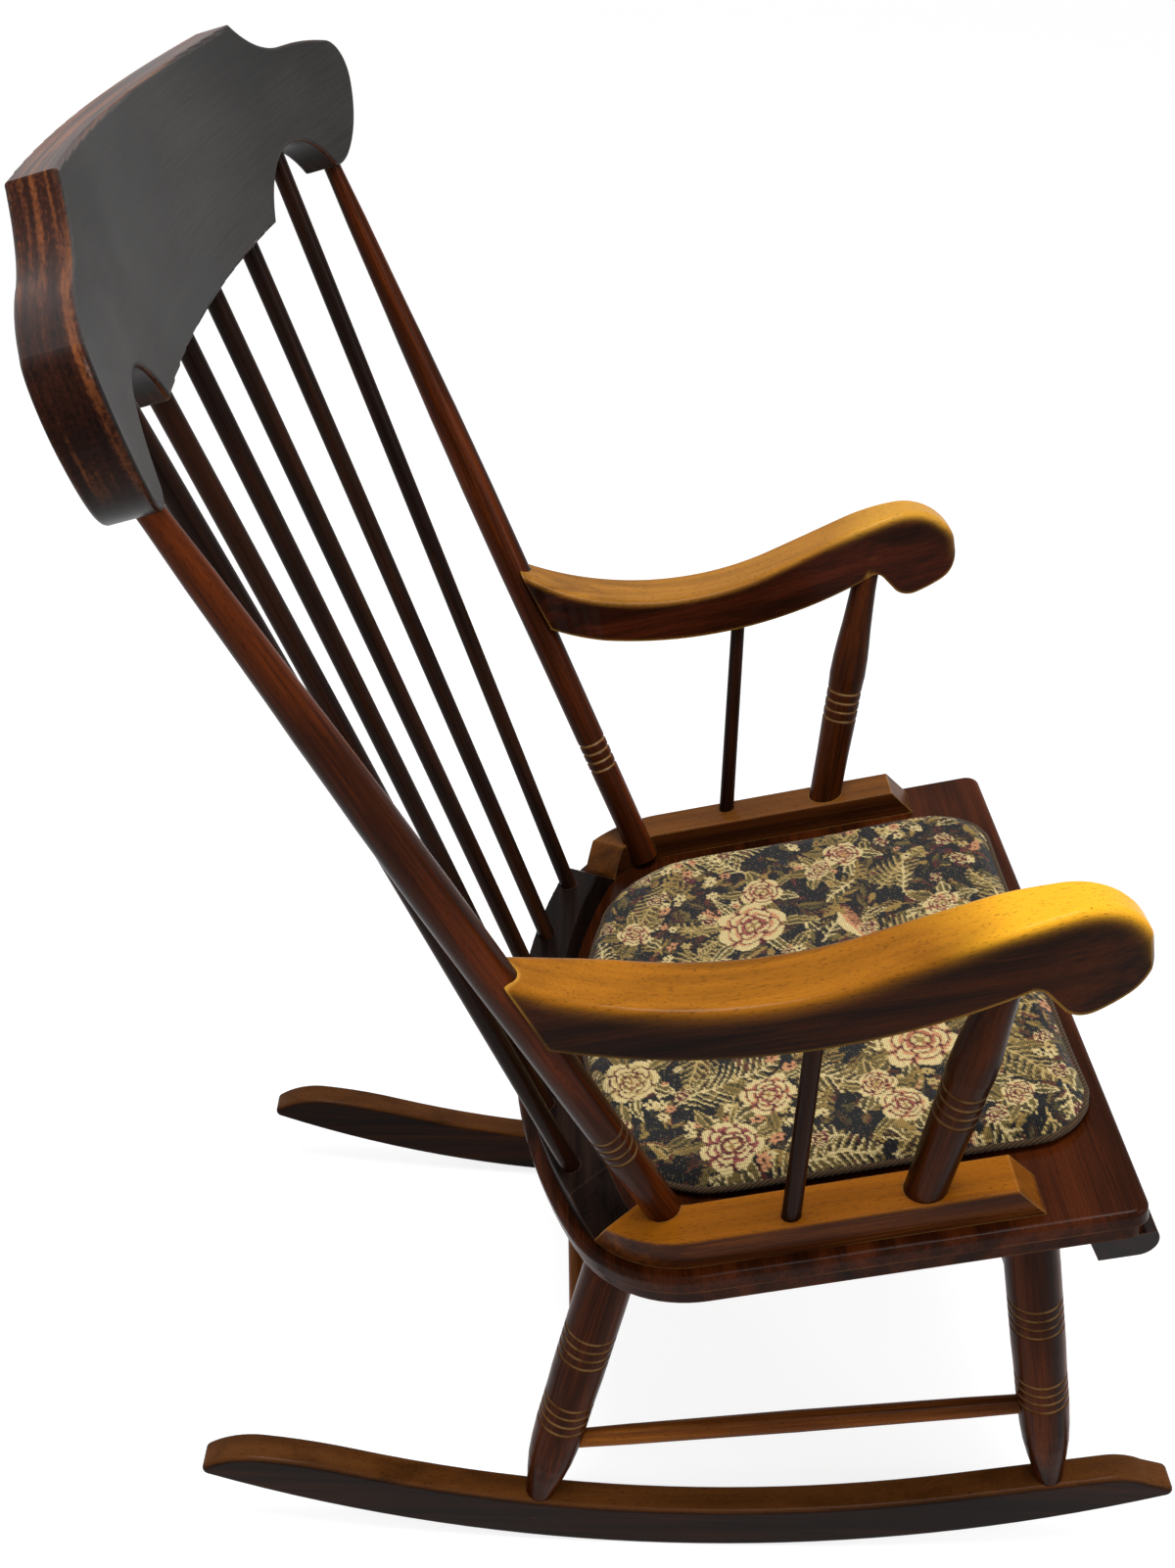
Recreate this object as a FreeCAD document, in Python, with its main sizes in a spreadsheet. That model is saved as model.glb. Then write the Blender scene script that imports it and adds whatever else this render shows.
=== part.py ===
import FreeCAD, Part
import math
import os
import Sketcher

# Spindle-back rocking chair. Millimetres. The chair is drawn in the seat's own frame: X across,
# Y back from the seat's front edge, Z up from the seat's top face. The sitter's left is +X.
# At the end every piece gets the same lean and lift, which set the rockers on the floor, Z up.

SIZES = {
    # Seat board
    "seat_width": 520,
    "seat_depth": 424,
    "seat_thickness": 26,
    "seat_corner_radius": 100,
    "seat_back_radius": 500,
    "seat_front_corner_radius": 12,
    "seat_upper_thickness": 13,
    "seat_step": 3,
    "seat_edge_round": 4.5,
    # Roll under the front edge
    "roll_height": 20,
    "roll_depth": 44,
    "roll_overhang": 4,
    "roll_end_inset": 5,
    "roll_foot_setback": 12,
    "roll_back_slant": 5,
    "roll_radius": 14.5,
    # Rims on the seat, three pieces that meet at two coved joints
    "rim_height": 25,
    "rim_width": 33,
    "rim_inset": 10,
    "rim_front_y": 65,
    "rim_front_bevel": 16,
    "rim_joint_angle": 53,
    "side_rim_joint_bevel": 18,
    "back_rim_joint_bevel": 25,
    "rim_joint_lip": 1,
    "rim_arris": 1.5,
    # Crest rail
    "crest_reach": 392,
    "crest_height": 122.5,
    "crest_thickness": 26,
    "crest_plan_radius": 1322,
    "crest_lean": 3.2,
    "crest_foot_y": 465.5,
    "crest_foot_z": 611.8,
    "crest_notch_radius": 90,
    "crest_ear_radius": 45,
    "crest_round": 2.5,
    # Back posts and back spindles
    "back_post_dia": 25.5,
    "back_post_foot_inset": 43,
    "back_post_foot_y": 311,
    "back_post_depth_in_crest": 8.5,
    "back_spindle_dia": 13.3,
    "back_spindle_foot_setback": 11,
    "back_spindle_depth_in_crest": 13,
    # Arms
    "arm_nose_y": -1.5,
    "arm_length": 359.5,
    "arm_low_z": 198,
    "arm_rise": 87.5,
    "arm_belly_radius": 395,
    "arm_saddle_radius": 265,
    "arm_inset": 27,
    "arm_spread": 53,
    "arm_nose_radius": 12,
    "arm_outer_radius": 250,
    "arm_heel_radius": 170,
    "arm_inner_radius": 1800,
    "arm_round": 5,
    # Arm posts and arm spindles
    "arm_post_dia": 30.5,
    "arm_post_foot_inset": 25.5,
    "arm_post_foot_y": 137.9,
    "arm_post_top_inset": 1.7,
    "arm_post_top_y": 75,
    "arm_post_top_z": 222,
    "arm_spindle_dia": 13,
    "arm_spindle_foot_inset": 20,
    "arm_spindle_foot_y": 226.8,
    "arm_spindle_top_inset": 9.7,
    "arm_spindle_top_y": 187.2,
    "arm_spindle_top_z": 204.5,
    # Dowels that pin the arms to the back posts
    "dowel_dia": 6,
    "dowel_length": 36,
    "dowel_height": 249,
    "dowel_splay": 10,
    # Rockers
    "rocker_radius": 933.5,
    "rocker_drop": 395.5,
    "rocker_low_y": 141,
    "rocker_height": 45,
    "rocker_thickness": 24,
    "rocker_inset": 55,
    "rocker_toe": 0.88,
    "rocker_nose_y": -34,
    "rocker_nose_shoulder_y": 25,
    "rocker_nose_radius": 45,
    "rocker_nose_run": 30,
    "rocker_tail_y": 718,
    "rocker_tail_radius": 60,
    "rocker_curl_start_y": 600,
    "rocker_curl_run": 65,
    "rocker_curl_rise": 32,
    "rocker_curl_radius": 420,
    "rocker_tip_radius": 6,
    "rocker_round": 4,
    # Legs
    "leg_dia": 40.5,
    "leg_foot_stock": 15,
    "front_leg_top_inset": 92,
    "front_leg_top_y": 61.6,
    "front_leg_foot_y": 70,
    "rear_leg_top_inset": 100,
    "rear_leg_top_y": 340,
    "rear_leg_foot_y": 466,
    "leg_tenon_dia": 15,
    # Stretchers
    "stretcher_dia": 16.5,
    "stretcher_entry": 18,
    # Turned rings
    "ring_pitch": 8.4,
    "ring_width": 3.6,
    "ring_depth": 1.2,
    # Sockets
    "post_socket_depth": 20,
    "spindle_socket_depth": 17,
    "crest_socket_depth": 22,
    "arm_socket_depth": 16,
    "leg_socket_depth": 19,
    "rocker_socket_depth": 22,
    "stretcher_socket_depth": 11,
    "socket_clearance": 0.15,
    "overrun": 30,
    # Seat cushion
    "cushion_side_gap": 14,
    "cushion_front_y": 5,
    "cushion_front_corner_radius": 50,
    "cushion_corner_radius": 95,
    "cushion_back_gap": 5,
    "cushion_height": 17,
    "cushion_lift": 0.3,
    "cushion_draw_in": 34,
    # Densities in kilograms per cubic metre, which set how far the chair leans at rest
    "wood_density": 600,
    "cushion_density": 300,
}

# Crest outline, right half, from the lobe's corner round the ear to the top corner:
# across in shares of the reach, up in shares of the height.
CREST_LOBE_SHARE = 0.46
CREST_EAR_FOOT_SHARES = (0.821, 0.012)
CREST_EAR_SHARES = [(0.89, 0.022), (1.0, 0.392), (0.952, 0.666), (0.765, 0.762)]
CREST_TOP_CORNER_SHARE = 0.562
SPINDLE_TOP_SHARES = [0.257, 0.816]
SPINDLE_FOOT_ANGLE_SHARES = [0.0825, 0.229, 0.382]
BACK_POST_TOP_SHARE = 0.844

# Arm side profile: along in shares of the arm's length from the nose, up in shares of its rise.
# The top runs forward from the saddle and down round the scroll to the lobe's back.
ARM_LOBE_BACK_SHARES = (0.153, 0.074)
ARM_THROAT_SHARES = [(0.178, 0.24), (0.199, 0.291)]
ARM_HEEL_FOOT_SHARES = (0.958, 0.4)
ARM_SADDLE_SHARES = (0.591, 0.491)
ARM_TOP_SHARES = [
    (0.422, 0.577), (0.254, 0.754), (0.124, 0.834), (0.0, 0.4), (0.047, 0.074), (0.106, 0.003),
]
ARM_ROUNDED_SHARE = 0.333

# Arm plan: across in shares of the spread from the innermost edge, along in shares of the length.
ARM_PLAN_SHARES = {
    "nose inner": (0.42, 0.028),
    "nose outer": (0.8, 0.01),
    "outer bend": (1.0, 0.24),
    "heel outer": (0.868, 1.0),
    "heel inner": (0.302, 1.0),
    "inner bend": (0.0, 0.838),
    "inner front": (0.33, 0.149),
}

# Turned profiles, foot to top: share of the length, share of the largest diameter. A third
# value gives the number of rings that start there.
BACK_POST_SHARES = [
    (0.0, 0.94), (0.11, 0.953), (0.122, 0.953, 4), (0.185, 0.953), (0.291, 0.961),
    (0.442, 1.0), (0.56, 0.98), (0.672, 0.91), (0.709, 0.865), (0.774, 0.804),
    (0.816, 0.741), (0.867, 0.686), (0.932, 0.62), (0.986, 0.525), (1.0, 0.51),
]
ARM_POST_SHARES = [
    (0.0, 0.9), (0.203, 0.918), (0.33, 0.955), (0.36, 0.96, 4), (0.51, 0.96),
    (0.558, 1.0), (0.635, 0.972), (0.7, 0.908), (0.772, 0.82), (0.853, 0.75),
    (0.934, 0.69), (1.0, 0.67),
]
LEG_SHARES = [
    (0.0, 0.54), (0.03, 0.61), (0.08, 0.76), (0.13, 0.875), (0.18, 0.935),
    (0.25, 0.975), (0.265, 0.975, 4), (0.37, 0.975), (0.44, 1.0), (0.5, 1.0, 4),
    (0.68, 1.0), (0.78, 0.985), (0.88, 0.89), (0.95, 0.78), (1.0, 0.7),
]
BACK_SPINDLE_SHARES = [(0.0, 1.0), (1.0, 1.0)]
ARM_SPINDLE_SHARES = [(0.0, 1.0), (1.0, 0.885)]
STRETCHER_SHARES = [(0.0, 0.86), (0.12, 0.93), (0.5, 1.0), (0.88, 0.93), (1.0, 0.86)]

# Where the stretchers cross the legs, in shares of the leg's length from its foot
FRONT_LEG_SIDE_STRETCHER_SHARE = 0.242
REAR_LEG_SIDE_STRETCHER_SHARE = 0.186
FRONT_LEG_CROSS_STRETCHER_SHARE = 0.421
REAR_LEG_CROSS_STRETCHER_SHARE = 0.46

# Cushion sections, bottom to top: share of the height, share of the draw-in
CUSHION_SECTION_SHARES = [(0.0, 0.3), (0.28, 0.03), (0.5, 0.0), (0.72, 0.12), (0.9, 0.45), (1.0, 1.0)]


class Size:
    """A length or angle: its value now, and the formula that binds it to the sheet."""

    def __init__(self, value, formula):
        self.value = value
        self.formula = formula

    def __add__(self, other):
        other = as_size(other)
        return Size(self.value + other.value, f"({self.formula} + {other.formula})")

    def __sub__(self, other):
        other = as_size(other)
        return Size(self.value - other.value, f"({self.formula} - {other.formula})")

    def __mul__(self, other):
        other = as_size(other)
        return Size(self.value * other.value, f"({self.formula} * {other.formula})")

    def __truediv__(self, other):
        other = as_size(other)
        return Size(self.value / other.value, f"({self.formula} / {other.formula})")

    def __neg__(self):
        return Size(-self.value, f"(-{self.formula})")


def as_size(thing):
    if isinstance(thing, Size):
        return thing
    return Size(float(thing), f"({float(thing)!r})")


def root(size):
    return Size(math.sqrt(size.value), f"sqrt({size.formula})")


def sine(angle):
    return Size(math.sin(math.radians(angle.value)), f"sin({angle.formula})")


def cosine(angle):
    return Size(math.cos(math.radians(angle.value)), f"cos({angle.formula})")


def leg_of(long_side, short_side):
    """The other short side of a right-angled triangle."""
    return root(long_side * long_side - short_side * short_side)


doc = FreeCAD.newDocument("RockingChair")
sheet = doc.addObject("Spreadsheet::Sheet", "Sizes")
for row, (alias, number) in enumerate(SIZES.items(), start=1):
    sheet.set(f"A{row}", alias)
    sheet.set(f"B{row}", str(number))
    sheet.setAlias(f"B{row}", alias)
doc.recompute()

ZERO = as_size(0)
TOLERANCE = 1e-4


def size(alias):
    return Size(float(sheet.get(alias)), f"Sizes.{alias}")


def vector_text(point):
    return "vector({}; {}; {})".format(*(as_size(part).formula for part in point))


# Bodies, sketches and their features

def new_body(name):
    return doc.addObject("PartDesign::Body", name)


def origin_feature(body, role):
    return next(item for item in body.Origin.OriginFeatures if item.Role == role)


def arc_between(start, end, radius, turns_left):
    """The short arc of a given radius from start to end, and whether it runs with its own sense."""
    chord = end - start
    middle = (start + end) * 0.5
    reach = math.sqrt(max(radius**2 - (chord.Length / 2)**2, 0))
    across = FreeCAD.Vector(-chord.y, chord.x, 0).normalize()
    centre = middle + across * (reach if turns_left else -reach)
    first, last = (start, end) if turns_left else (end, start)
    angles = [math.atan2(point.y - centre.y, point.x - centre.x) for point in (first, last)]
    circle = Part.Circle(centre, FreeCAD.Vector(0, 0, 1), radius)
    return Part.ArcOfCircle(circle, angles[0], angles[1])


def smooth_arc_radius(start, end, heading):
    """Radius and side of the arc from start to end that sets off along heading."""
    chord = end - start
    turn = math.atan2(heading.x * chord.y - heading.y * chord.x, heading.dot(chord))
    return chord.Length / (2 * math.sin(abs(turn))), turn > 0


def heading_at_end(start, end, radius, turns_left):
    chord = end - start
    half_turn = math.asin(min(chord.Length / (2 * radius), 1))
    angle = math.atan2(chord.y, chord.x) + (half_turn if turns_left else -half_turn)
    return FreeCAD.Vector(math.cos(angle), math.sin(angle), 0)


def sketch_outline(body, role, name, start, edges, height=None):
    """A closed outline in one of the body's own planes. Each edge gives its end point and its kind:
    a line, an arc that turns left or right with a radius, or an arc smooth with the edge before."""
    sketch = body.newObject("Sketcher::SketchObject", name)
    sketch.AttachmentSupport = [(origin_feature(body, role), "")]
    sketch.MapMode = "FlatFace"
    if height is not None:
        sketch.setExpression("AttachmentOffset.Base.z", height.formula)
    corners = [start] + [(edge[1], edge[2]) for edge in edges[:-1]]
    points = [FreeCAD.Vector(across.value, up.value, 0) for across, up in corners]
    count = len(edges)
    ends = []
    heading = None
    for number, edge in enumerate(edges):
        first = points[number]
        last = points[(number + 1) % count]
        if edge[0] == "line":
            sketch.addGeometry(Part.LineSegment(first, last), False)
            heading = (last - first).normalize()
            ends.append((1, 2))
            continue
        if edge[0] == "smooth":
            radius, turns_left = smooth_arc_radius(first, last, heading)
        else:
            radius, turns_left = edge[3].value, edge[0] == "left"
        sketch.addGeometry(arc_between(first, last, radius, turns_left), False)
        heading = heading_at_end(first, last, radius, turns_left)
        ends.append((1, 2) if turns_left else (2, 1))
    for number, edge in enumerate(edges):
        previous = (number - 1) % count
        kind = "Tangent" if edge[0] == "smooth" else "Coincident"
        joint = Sketcher.Constraint(kind, previous, ends[previous][1], number, ends[number][0])
        sketch.addConstraint(joint)
        if edge[0] in ("left", "right"):
            bind(sketch, Sketcher.Constraint("Radius", number, edge[3].value), edge[3])
    for number, corner in enumerate(corners):
        for kind, place in zip(("DistanceX", "DistanceY"), corner):
            rule = Sketcher.Constraint(kind, -1, 1, number, ends[number][0], place.value)
            bind(sketch, rule, place)
    return sketch


def bind(sketch, rule, place):
    index = sketch.addConstraint(rule)
    sketch.setExpression(f"Constraints[{index}]", place.formula)


def pad(body, sketch, name, length, both_ways=False, downward=False):
    feature = body.newObject("PartDesign::Pad", name)
    feature.Profile = sketch
    feature.setExpression("Length", length.formula)
    feature.SideType = "Symmetric" if both_ways else "One side"
    feature.Reversed = downward
    return feature


def edges_where(feature, test):
    names = []
    for number, edge in enumerate(feature.Shape.Edges, start=1):
        middle = edge.valueAt((edge.FirstParameter + edge.LastParameter) / 2)
        if test(edge, middle):
            names.append(f"Edge{number}")
    return names


def fillet(body, name, radius, test):
    doc.recompute()
    base = body.Tip
    feature = body.newObject("PartDesign::Fillet", name)
    feature.Base = (base, edges_where(base, test))
    feature.setExpression("Radius", radius.formula)
    doc.recompute()
    return feature


def near(first, second):
    return abs(first - second) < TOLERANCE * max(abs(first), abs(second), 1)


def is_curved(edge):
    return not isinstance(edge.Curve, Part.Line)


def round_edges(name, base, radius_alias, test):
    """Round the sharp edges of a piece that was sawn two ways."""
    doc.recompute()
    rounded = doc.addObject("Part::Fillet", name)
    rounded.Base = base
    radius = size(radius_alias).value
    rounded.Edges = [(int(edge_name[4:]), radius, radius) for edge_name in edges_where(base, test)]
    return rounded


# Places shared by the pieces

half_seat = size("seat_width") / 2
half_track = half_seat - size("rocker_inset")
back_centre_y = size("seat_depth") - size("seat_back_radius")
rim_top_z = size("rim_height")
seat_under_z = -size("seat_thickness")
bore_gap = size("socket_clearance")


def corner_centre(half_width, corner_radius, back_radius):
    across = half_width - corner_radius
    return across, back_centre_y + leg_of(back_radius - corner_radius, across)


def back_tangent(half_width, corner_radius, back_radius):
    across, back = corner_centre(half_width, corner_radius, back_radius)
    stretch = back_radius / (back_radius - corner_radius)
    return across * stretch, back_centre_y + (back - back_centre_y) * stretch


def tray_edges(front_y, half_width, front_radius, corner_radius, back_radius):
    """Start and edges of the seat's outline: straight front and sides, round corners, bowed back."""
    corner_x, corner_y = corner_centre(half_width, corner_radius, back_radius)
    tangent_x, tangent_y = back_tangent(half_width, corner_radius, back_radius)
    inner_x = half_width - front_radius
    start = (-inner_x, front_y)
    edges = [
        ("line", inner_x, front_y),
        ("left", half_width, front_y + front_radius, front_radius),
        ("line", half_width, corner_y),
        ("left", tangent_x, tangent_y, corner_radius),
        ("left", -tangent_x, tangent_y, back_radius),
        ("left", -half_width, corner_y, corner_radius),
        ("line", -half_width, front_y + front_radius),
        ("left", -inner_x, front_y, front_radius),
    ]
    return start, edges


def crest_point(across, depth, height):
    """A point of the crest rail, given across, behind its front face and up from its foot."""
    face_y = leg_of(size("crest_plan_radius"), across) - size("crest_plan_radius") + depth
    lean = size("crest_lean")
    back = size("crest_foot_y") + face_y * cosine(lean) + height * sine(lean)
    up = size("crest_foot_z") - face_y * sine(lean) + height * cosine(lean)
    return across, back, up


centre_z = size("rocker_radius") - size("rocker_drop")


def rocker_point(along, lift):
    """A point in a rocker's own plane, on the circle that lies lift above its running edge."""
    from_low = along - size("rocker_low_y")
    return along, centre_z - leg_of(size("rocker_radius") - lift, from_low)


def rocker_side(along, up):
    """The same point in the seat's frame, with the rocker's track and toe."""
    toe = size("rocker_toe")
    return half_track - along * sine(toe), along * cosine(toe), up


def part_way(foot, top, share):
    return tuple(low + (high - low) * share for low, high in zip(foot, top))


def span(foot, top):
    rise = [high - low for low, high in zip(foot, top)]
    return root(rise[0] * rise[0] + rise[1] * rise[1] + rise[2] * rise[2])


def stand_along(thing, foot, top):
    """Stand a piece that is drawn up its own Z on the line from foot to top."""
    rise = [high - low for low, high in zip(foot, top)]
    tilt_axis = f"vector(-{rise[1].formula}; {rise[0].formula}; 0)"
    tilt = f"acos({rise[2].formula} / {span(foot, top).formula})"
    thing.setExpression("Placement", f"placement({vector_text(foot)}; rotation({tilt_axis}; {tilt}))")


# Turned pieces and their sockets

def turned(name, foot, top, diameter, shares, foot_end, top_end):
    """A lathe-turned piece: a half profile turned about Z. Its ends run on past foot and top."""
    length = span(foot, top)
    profile = [(diameter * shares[0][1] / 2, -foot_end)]
    for station in shares:
        along = length * station[0]
        radius = diameter * station[1] / 2
        if len(station) == 2:
            profile.append((radius, along))
            continue
        for ring in range(station[2]):
            edge = along + size("ring_pitch") * ring
            profile.append((radius, edge))
            profile.append((radius - size("ring_depth"), edge + size("ring_width") / 2))
            profile.append((radius, edge + size("ring_width")))
    profile.append((diameter * shares[-1][1] / 2, length + top_end))
    body = new_body(name)
    edges = [("line", radius, along) for radius, along in profile]
    edges.append(("line", ZERO, length + top_end))
    edges.append(("line", ZERO, -foot_end))
    sketch = sketch_outline(body, "XZ_Plane", name + "Profile", (ZERO, -foot_end), edges)
    turning = body.newObject("PartDesign::Revolution", name + "Turning")
    turning.Profile = sketch
    turning.ReferenceAxis = (sketch, ["V_Axis"])
    turning.Angle = 360
    stand_along(body, foot, top)
    return body


def bore(name, foot, top, diameter, start, end):
    """A round cutter on the line from foot to top, between two distances from foot."""
    cutter = doc.addObject("Part::Cylinder", name)
    cutter.setExpression("Radius", (diameter / 2 + bore_gap).formula)
    cutter.setExpression("Height", (end - start).formula)
    stand_along(cutter, part_way(foot, top, start / span(foot, top)), top)
    return cutter


def foot_bore(name, foot, top, diameter, depth):
    return bore(name, foot, top, diameter, -depth - bore_gap, size("overrun"))


def top_bore(name, foot, top, diameter, depth):
    length = span(foot, top)
    return bore(name, foot, top, diameter, length - size("overrun"), length + depth + bore_gap)


def cut(name, base, tools):
    """The base less its cutters, one after the other."""
    result = base
    for number, tool in enumerate(tools, start=1):
        step = doc.addObject("Part::Cut", f"{name}Cut{number}")
        step.Base = result
        step.Tool = tool
        result = step
    return result


def mirrored(thing, name):
    twin = doc.addObject("Part::Mirroring", name)
    twin.Source = thing
    twin.Base = FreeCAD.Vector(0, 0, 0)
    twin.Normal = FreeCAD.Vector(1, 0, 0)
    return twin


def with_twin(thing):
    """A cutter and its mirror image on the other side."""
    return [thing, mirrored(thing, thing.Name + "Twin")]


# Axes of the members on the sitter's left, foot first

back_post_foot = (half_seat - size("back_post_foot_inset"), size("back_post_foot_y"), rim_top_z)
back_post_top = crest_point(
    size("crest_reach") * BACK_POST_TOP_SHARE, size("back_post_depth_in_crest"), ZERO)

lobe_x = size("crest_reach") * CREST_LOBE_SHARE
ear_foot_x = size("crest_reach") * CREST_EAR_FOOT_SHARES[0]
notch_half = (ear_foot_x - lobe_x) / 2
notch_height = size("crest_notch_radius") - leg_of(size("crest_notch_radius"), notch_half)
spindle_tops = [(lobe_x * share, ZERO) for share in SPINDLE_TOP_SHARES]
spindle_tops.append((lobe_x + notch_half, notch_height))

foot_circle = size("seat_back_radius") - size("rim_inset") - size("back_spindle_foot_setback")
back_spindles = []
for (top_x, top_height), angle_share in zip(spindle_tops, SPINDLE_FOOT_ANGLE_SHARES):
    foot_angle = size("rim_joint_angle") * angle_share
    foot_y = back_centre_y + foot_circle * cosine(foot_angle)
    spindle_foot = (foot_circle * sine(foot_angle), foot_y, rim_top_z)
    spindle_top = crest_point(top_x, size("back_spindle_depth_in_crest"), top_height)
    back_spindles.append((spindle_foot, spindle_top))



def under_arm(member, end, up):
    """One end of an arm's post or spindle, set in from the seat's side."""
    return half_seat - size(f"{member}_{end}_inset"), size(f"{member}_{end}_y"), up


arm_post_foot = under_arm("arm_post", "foot", rim_top_z)
arm_post_top = under_arm("arm_post", "top", size("arm_post_top_z"))
arm_spindle_foot = under_arm("arm_spindle", "foot", rim_top_z)
arm_spindle_top = under_arm("arm_spindle", "top", size("arm_spindle_top_z"))

front_foot_z = size("rocker_height") - size("rocker_drop")
front_leg_foot = rocker_side(size("front_leg_foot_y"), front_foot_z)
front_leg_top = (half_seat - size("front_leg_top_inset"), size("front_leg_top_y"), seat_under_z)
rear_leg_foot = rocker_side(*rocker_point(size("rear_leg_foot_y"), size("rocker_height")))
rear_leg_top = (half_seat - size("rear_leg_top_inset"), size("rear_leg_top_y"), seat_under_z)


def across_to_twin(point):
    return (-point[0], point[1], point[2])


side_stretcher_ends = (
    part_way(front_leg_foot, front_leg_top, FRONT_LEG_SIDE_STRETCHER_SHARE),
    part_way(rear_leg_foot, rear_leg_top, REAR_LEG_SIDE_STRETCHER_SHARE),
)
front_cross_end = part_way(front_leg_foot, front_leg_top, FRONT_LEG_CROSS_STRETCHER_SHARE)
rear_cross_end = part_way(rear_leg_foot, rear_leg_top, REAR_LEG_CROSS_STRETCHER_SHARE)

pieces = {}


def keep(label, thing):
    pieces[label] = thing


def keep_pair(label, thing):
    keep(label + "_left", thing)
    keep(label + "_right", mirrored(thing, thing.Name + "RightHand"))


# Back posts, back spindles, arm posts and arm spindles

back_post = turned("BackPost", back_post_foot, back_post_top, size("back_post_dia"), BACK_POST_SHARES,
                   size("post_socket_depth"), size("crest_socket_depth"))
back_post_foot_dia = size("back_post_dia") * BACK_POST_SHARES[0][1]
back_post_top_dia = size("back_post_dia") * BACK_POST_SHARES[-1][1]

back_spindle_bodies = []
for number, (spindle_foot, spindle_top) in enumerate(back_spindles, start=1):
    spindle = turned(f"BackSpindle{number}", spindle_foot, spindle_top, size("back_spindle_dia"),
                     BACK_SPINDLE_SHARES, size("spindle_socket_depth"), size("crest_socket_depth"))
    back_spindle_bodies.append(spindle)
    keep_pair(f"back_spindle_{number}", spindle)

arm_post = turned("ArmPost", arm_post_foot, arm_post_top, size("arm_post_dia"), ARM_POST_SHARES,
                  size("post_socket_depth"), size("arm_socket_depth"))
arm_post_foot_dia = size("arm_post_dia") * ARM_POST_SHARES[0][1]
arm_post_top_dia = size("arm_post_dia") * ARM_POST_SHARES[-1][1]
keep_pair("arm_post", arm_post)

arm_spindle = turned("ArmSpindle", arm_spindle_foot, arm_spindle_top, size("arm_spindle_dia"),
                     ARM_SPINDLE_SHARES, size("spindle_socket_depth"), size("arm_socket_depth"))
arm_spindle_top_dia = size("arm_spindle_dia") * ARM_SPINDLE_SHARES[-1][1]
keep_pair("arm_spindle", arm_spindle)


# Seat board: a full upper layer and a stepped lower one, bored from below for the legs

def seat_board():
    body = new_body("SeatBoard")
    upper = size("seat_upper_thickness")
    for name, inset, top, depth in (("Upper", ZERO, ZERO, upper),
                                    ("Lower", size("seat_step"), -upper, size("seat_thickness") - upper)):
        start, edges = tray_edges(inset, half_seat - inset, size("seat_front_corner_radius"),
                                  size("seat_corner_radius") - inset, size("seat_back_radius") - inset)
        sketch = sketch_outline(body, "XY_Plane", f"Seat{name}Outline", start, edges, top)
        pad(body, sketch, f"Seat{name}Layer", depth, downward=True)
    doc.recompute()
    fillet(body, "SeatEdgeRound", size("seat_edge_round"), lambda edge, middle: near(middle.z, 0))
    leg_top_dia = size("leg_dia") * LEG_SHARES[-1][1]
    bores = []
    for name, foot, top in (("FrontLegSocket", front_leg_foot, front_leg_top),
                            ("RearLegSocket", rear_leg_foot, rear_leg_top)):
        bores += with_twin(top_bore(name, foot, top, leg_top_dia, size("leg_socket_depth")))
    return cut("SeatBoard", body, bores)


def front_roll():
    body = new_body("FrontRoll")
    top = seat_under_z
    low = top - size("roll_height")
    front = -size("roll_overhang")
    back = front + size("roll_depth")
    start = (back - size("roll_back_slant"), low)
    edges = [
        ("line", back, top),
        ("line", front, top),
        ("left", front + size("roll_foot_setback"), low, size("roll_radius")),
        ("line", start[0], low),
    ]
    sketch = sketch_outline(body, "YZ_Plane", "RollSection", start, edges)
    pad(body, sketch, "RollLength", (half_seat - size("roll_end_inset")) * 2, both_ways=True)
    return body


keep("seat_board", seat_board())
keep("front_roll", front_roll())


# Rims: the side rims' ends and the back rim's ends are bevelled down to a thin lip

rim_corner_radius = size("seat_corner_radius") - size("rim_inset")
rim_back_radius = size("seat_back_radius") - size("rim_inset")
rim_half_width = half_seat - size("rim_inset")
rim_centre_x, rim_centre_y = corner_centre(rim_half_width, rim_corner_radius, rim_back_radius)


def joint_point(radius):
    angle = size("rim_joint_angle")
    return rim_centre_x + radius * cosine(angle), rim_centre_y + radius * sine(angle)


def bevel_cutter(name, corner, spin, length, run):
    """A block whose sloping underside takes an end down to the lip, over a run along the rim."""
    drop = size("rim_height") - size("rim_joint_lip")
    block = doc.addObject("Part::Box", name)
    block.setExpression("Length", length.formula)
    block.setExpression("Width", root(run * run + drop * drop).formula)
    block.setExpression("Height", drop.formula)
    turn = f"rotation(vector(0; 0; 1); {spin.formula})"
    tilt = f"rotation(vector(1; 0; 0); atan({drop.formula} / {run.formula}))"
    place = f"placement({vector_text(corner)}; {turn}) * placement(vector(0; 0; 0); {tilt})"
    block.setExpression("Placement", place)
    return block


def joint_cutter(name, run, faces_side_rim):
    """The cutter of the cove on one side of a rim joint."""
    spin = size("rim_joint_angle")
    if faces_side_rim:
        corner = joint_point(rim_corner_radius + size("overrun"))
        spin = spin + 180
    else:
        corner = joint_point(rim_corner_radius - size("rim_width") - size("overrun"))
    length = size("rim_width") + size("overrun") * 2
    return bevel_cutter(name, (*corner, size("rim_joint_lip")), spin, length, run)


def on_top(edge, middle):
    return near(middle.z, rim_top_z.value)


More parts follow.
